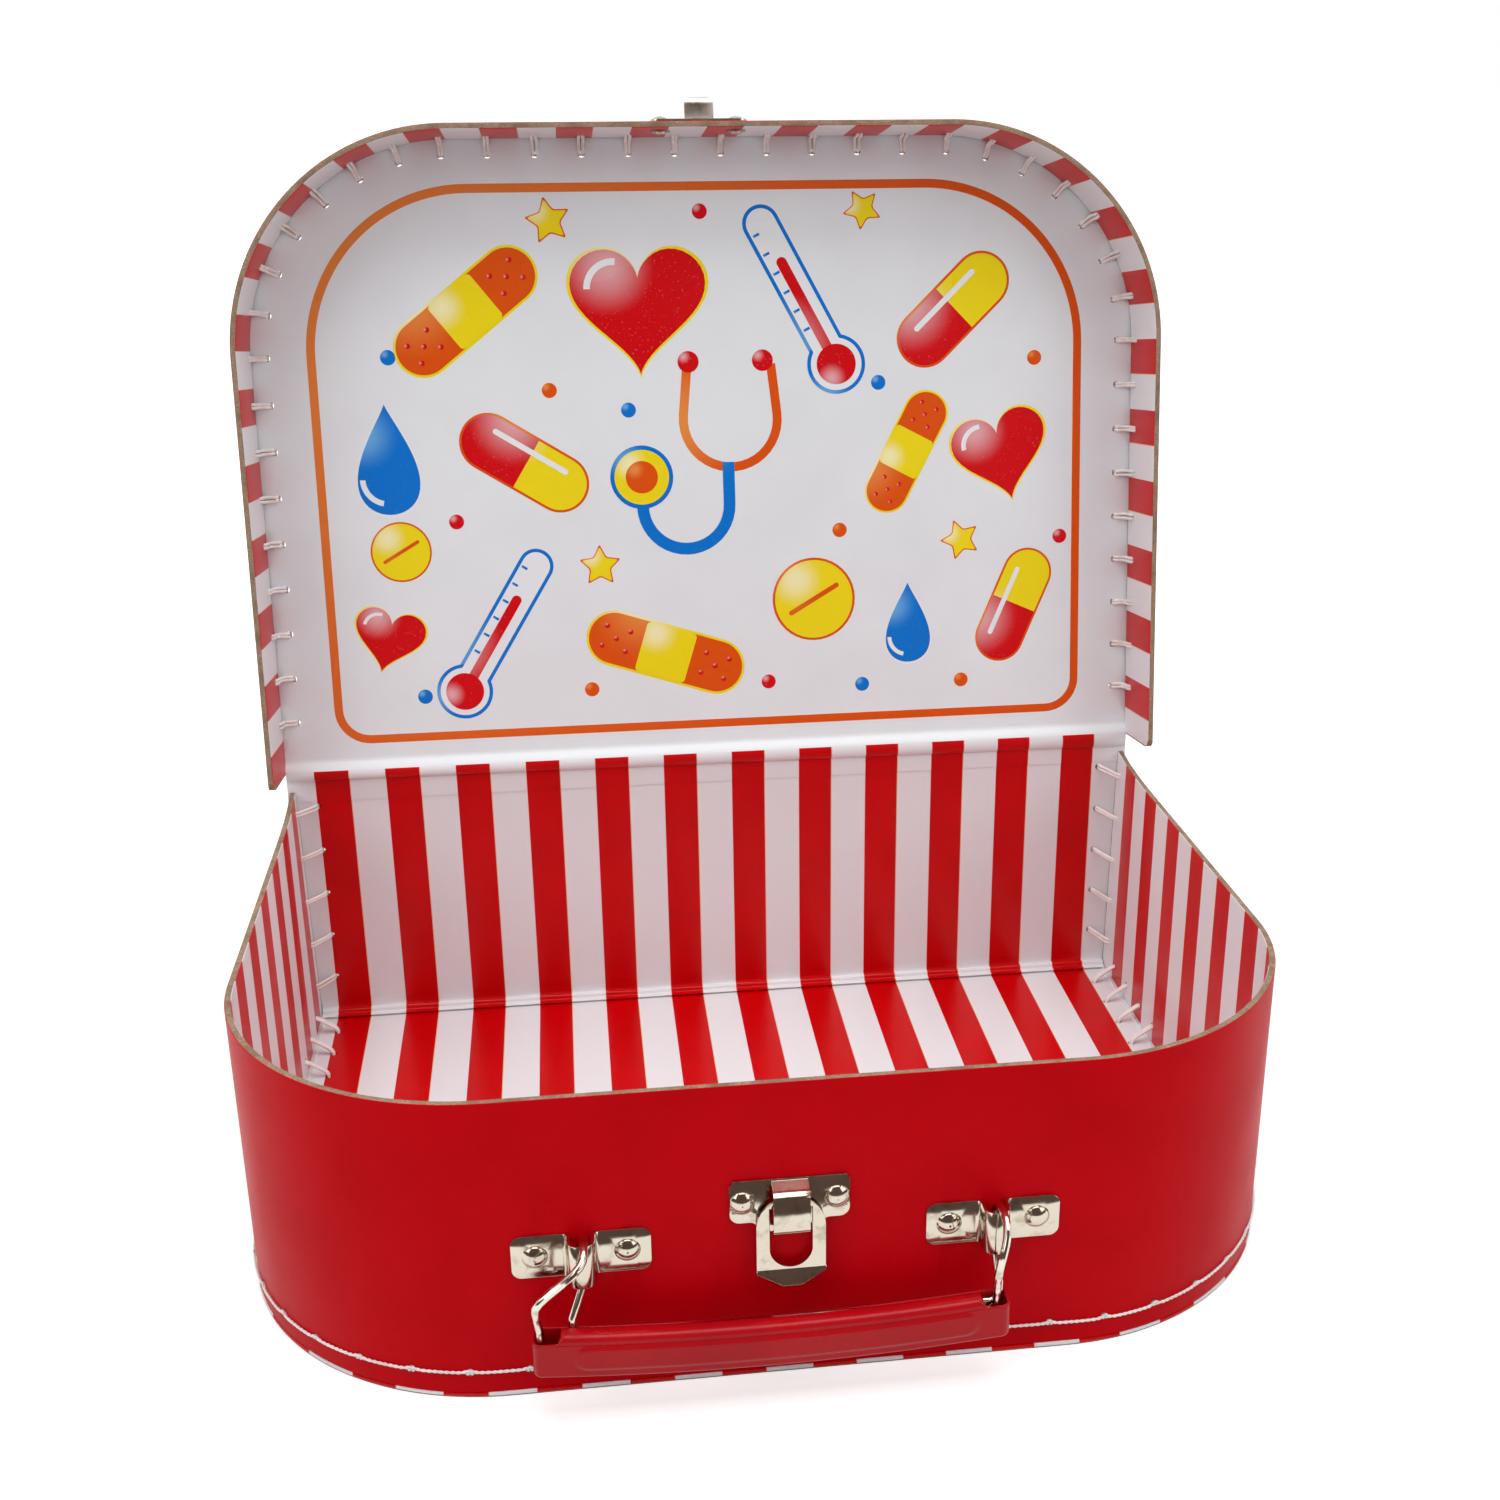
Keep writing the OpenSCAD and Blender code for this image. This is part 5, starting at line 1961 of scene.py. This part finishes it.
@dataclass
class Handle:
    """Bent wire and pressed grip."""

    palette: Palette

    def build(self) -> None:
        """Makes the wire and the grip."""
        Fitting("handle_wire", "handle", "wire_steel", 0.0).build(self.palette.wire)
        Grip(self.palette).build()


@dataclass(frozen=True)
class Camera:
    """Viewpoint of the photograph, from the fit of the case's outlines."""

    place: Point = (-0.040147, -0.414073, 0.269138)
    yaw: float = math.radians(7.426)
    pitch: float = math.radians(20.709)
    roll: float = math.radians(-0.202)
    lens: float = 43.51
    shift: Point2 = (-0.0348, 0.0028)

    def build(self) -> None:
        """Makes the camera and picks it."""
        ahead = Vector((math.sin(self.yaw) * math.cos(self.pitch), math.cos(self.yaw) * math.cos(self.pitch),
                        -math.sin(self.pitch)))
        right = Vector((math.cos(self.yaw), -math.sin(self.yaw), 0))
        up = right.cross(ahead)
        tilted = math.cos(self.roll) * right + math.sin(self.roll) * up
        upright = -math.sin(self.roll) * right + math.cos(self.roll) * up
        turn = Matrix((tilted, upright, -ahead)).transposed().to_4x4()
        data = bpy.data.cameras.new("photo_camera")
        data.lens = self.lens
        data.sensor_width = 36
        data.shift_x, data.shift_y = self.shift
        data.clip_start = 0.01
        camera = bpy.data.objects.new("photo_camera", data)
        camera.matrix_world = Matrix.Translation(self.place) @ turn
        bpy.context.scene.collection.objects.link(camera)
        bpy.context.scene.camera = camera


@dataclass(frozen=True)
class Softbox:
    """Square lamp aimed at the case."""

    name: str
    place: Point
    size: float
    power: float
    aim: Point = (0, 0, 0.1)

    def build(self) -> None:
        """Makes the lamp."""
        data = bpy.data.lights.new(self.name, "AREA")
        data.shape = "SQUARE"
        data.size = self.size
        data.energy = self.power
        lamp = bpy.data.objects.new(self.name, data)
        lamp.location = self.place
        lamp.rotation_mode = "QUATERNION"
        lamp.rotation_quaternion = (Vector(self.aim) - Vector(self.place)).to_track_quat("-Z", "Y")
        bpy.context.scene.collection.objects.link(lamp)


@dataclass(frozen=True)
class Studio:
    """White floor that ends in front of the case, white surroundings and soft lamps.

    A fade is where it starts and ends, and its value there.
    """

    daylight: float = 0.38
    bounce: Colour = (1.0, 0.62, 0.5, 1)
    mirror_fade: Sequence[float] = (-0.3, 0.1, 0.12, 1.0)
    floor_grey: Colour = (0.6, 0.6, 0.6, 1)
    floor_fade: Sequence[float] = (0.18, 0.6, 0.6, 1.0)
    floor_half: float = 6
    floor_front: float = 0.34

    def build(self) -> None:
        """Makes the stage."""
        scene = bpy.context.scene
        scene.view_settings.view_transform = "Standard"
        self.world(scene)
        self.floor()
        for lamp in (Softbox("left_softbox", (-1.1, -0.7, 0.9), 0.9, 6.2),
                     Softbox("right_softbox", (1.1, -0.8, 0.8), 0.9, 5.2),
                     Softbox("top_softbox", (0.0, -0.1, 1.5), 1.2, 15.5)):
            lamp.build()

    def world(self, scene: bpy.types.Scene) -> None:
        """Surroundings: white to the camera, white behind and dark in front in reflections, dimmer as light.

        Args:
            scene: The scene.
        """
        world = bpy.data.worlds.new("studio_surroundings")
        world.use_nodes = True
        tree = world.node_tree
        tree.nodes.clear()
        way = tree.nodes.new("ShaderNodeTexCoord")
        parts = tree.nodes.new("ShaderNodeSeparateXYZ")
        tree.links.new(way.outputs["Generated"], parts.inputs[0])
        mirrored = tree.nodes.new("ShaderNodeMapRange")
        tree.links.new(parts.outputs["Y"], mirrored.inputs[0])
        for number, value in enumerate(self.mirror_fade, 1):
            mirrored.inputs[number].default_value = value
        path = tree.nodes.new("ShaderNodeLightPath")
        as_seen = tree.nodes.new("ShaderNodeMix")
        tree.links.new(path.outputs["Is Glossy Ray"], as_seen.inputs[0])
        as_seen.inputs[2].default_value = 1.0
        tree.links.new(mirrored.outputs[0], as_seen.inputs[3])
        strength = tree.nodes.new("ShaderNodeMix")
        tree.links.new(self.seen(tree), strength.inputs[0])
        strength.inputs[2].default_value = self.daylight
        tree.links.new(as_seen.outputs[0], strength.inputs[3])
        background = tree.nodes.new("ShaderNodeBackground")
        warmth = tree.nodes.new("ShaderNodeMix")
        warmth.data_type = "RGBA"
        tree.links.new(as_seen.outputs[0], warmth.inputs[0])
        warmth.inputs[6].default_value = self.bounce
        warmth.inputs[7].default_value = (1, 1, 1, 1)
        tree.links.new(warmth.outputs[2], background.inputs[0])
        tree.links.new(strength.outputs[0], background.inputs[1])
        output = tree.nodes.new("ShaderNodeOutputWorld")
        tree.links.new(background.outputs[0], output.inputs[0])
        scene.world = world

    def seen(self, tree: bpy.types.NodeTree) -> bpy.types.NodeSocket:
        """One where the camera, a reflection or a clear view meets the surroundings, else zero.

        Args:
            tree: The nodes of a material or the world.

        Returns:
            The value's output.
        """
        path = tree.nodes.new("ShaderNodeLightPath")
        total = path.outputs["Is Camera Ray"]
        for name in ("Is Glossy Ray", "Is Transmission Ray"):
            either = tree.nodes.new("ShaderNodeMath")
            either.operation = "MAXIMUM"
            tree.links.new(total, either.inputs[0])
            tree.links.new(path.outputs[name], either.inputs[1])
            total = either.outputs[0]
        return total

    def floor(self) -> None:
        """White floor that keeps the case's soft shadow and turns into the surroundings further out."""
        material = bpy.data.materials.new("pale_floor")
        material.use_nodes = True
        tree = material.node_tree
        tree.nodes.clear()
        matt = tree.nodes.new("ShaderNodeBsdfDiffuse")
        matt.inputs[0].default_value = self.floor_grey
        glow = tree.nodes.new("ShaderNodeEmission")
        place = tree.nodes.new("ShaderNodeTexCoord")
        away = tree.nodes.new("ShaderNodeVectorMath")
        away.operation = "LENGTH"
        tree.links.new(place.outputs["Object"], away.inputs[0])
        reach = tree.nodes.new("ShaderNodeMapRange")
        reach.interpolation_type = "SMOOTHSTEP"
        tree.links.new(away.outputs["Value"], reach.inputs[0])
        for number, value in enumerate(self.floor_fade, 1):
            reach.inputs[number].default_value = value
        share = tree.nodes.new("ShaderNodeMath")
        share.operation = "MULTIPLY"
        tree.links.new(reach.outputs[0], share.inputs[0])
        tree.links.new(self.seen(tree), share.inputs[1])
        tree.links.new(share.outputs[0], glow.inputs[1])
        both = tree.nodes.new("ShaderNodeAddShader")
        tree.links.new(matt.outputs[0], both.inputs[0])
        tree.links.new(glow.outputs[0], both.inputs[1])
        output = tree.nodes.new("ShaderNodeOutputMaterial")
        tree.links.new(both.outputs[0], output.inputs["Surface"])
        bm = bmesh.new()
        bmesh.ops.create_grid(bm, x_segments=8, y_segments=8, size=self.floor_half)
        bmesh.ops.translate(bm, verts=list(bm.verts), vec=(0, self.floor_half - self.floor_front, 0))
        mesh = bpy.data.meshes.new("floor")
        bm.to_mesh(mesh)
        bm.free()
        mesh.materials.append(material)
        floor = bpy.data.objects.new("floor", mesh)
        bpy.context.scene.collection.objects.link(floor)


@dataclass(frozen=True)
class RivetPlaces:
    """Where the rivets go through the boards, in millimetres: across, and up, or down from the lid's top."""

    middle: float = -0.8
    latch_half: float = 10.2
    latch_up: float = 44.1
    bracket_middle: float = 44.5
    bracket_half: float = 9.75
    bracket_up: float = 34.9
    catch_down: float = 15.4

    def pair(self, height: float) -> list[Point2]:
        """Places of the latch's two rivets, or the catch's, in metres."""
        return [(self.middle * MM + side * self.latch_half * MM, height * MM) for side in (-1, 1)]

    def brackets(self) -> list[Point2]:
        """Places of the two brackets' rivets, in metres."""
        return [(self.middle * MM + (side * self.bracket_middle + wing * self.bracket_half) * MM,
                 self.bracket_up * MM) for side in (-1, 1) for wing in (-1, 1)]


def main() -> None:
    """Builds the case and its studio."""
    logging.basicConfig(level=logging.INFO, format="%(name)s: %(message)s")
    Camera().build()
    Studio().build()
    sizes = CaseSizes()
    palette = Palette()
    rivets = RivetPlaces()
    BaseShell(sizes, palette, rivets.pair(rivets.latch_up) + rivets.brackets()).build()
    LidShell(sizes, palette, rivets.pair(rivets.catch_down)).build()
    Crease(sizes, palette).build()
    LidPrint(sizes, palette).build()
    Stitching(sizes, palette).build()
    FrontFittings(palette).build()
    Handle(palette).build()


if __name__ == "__main__":
    main()
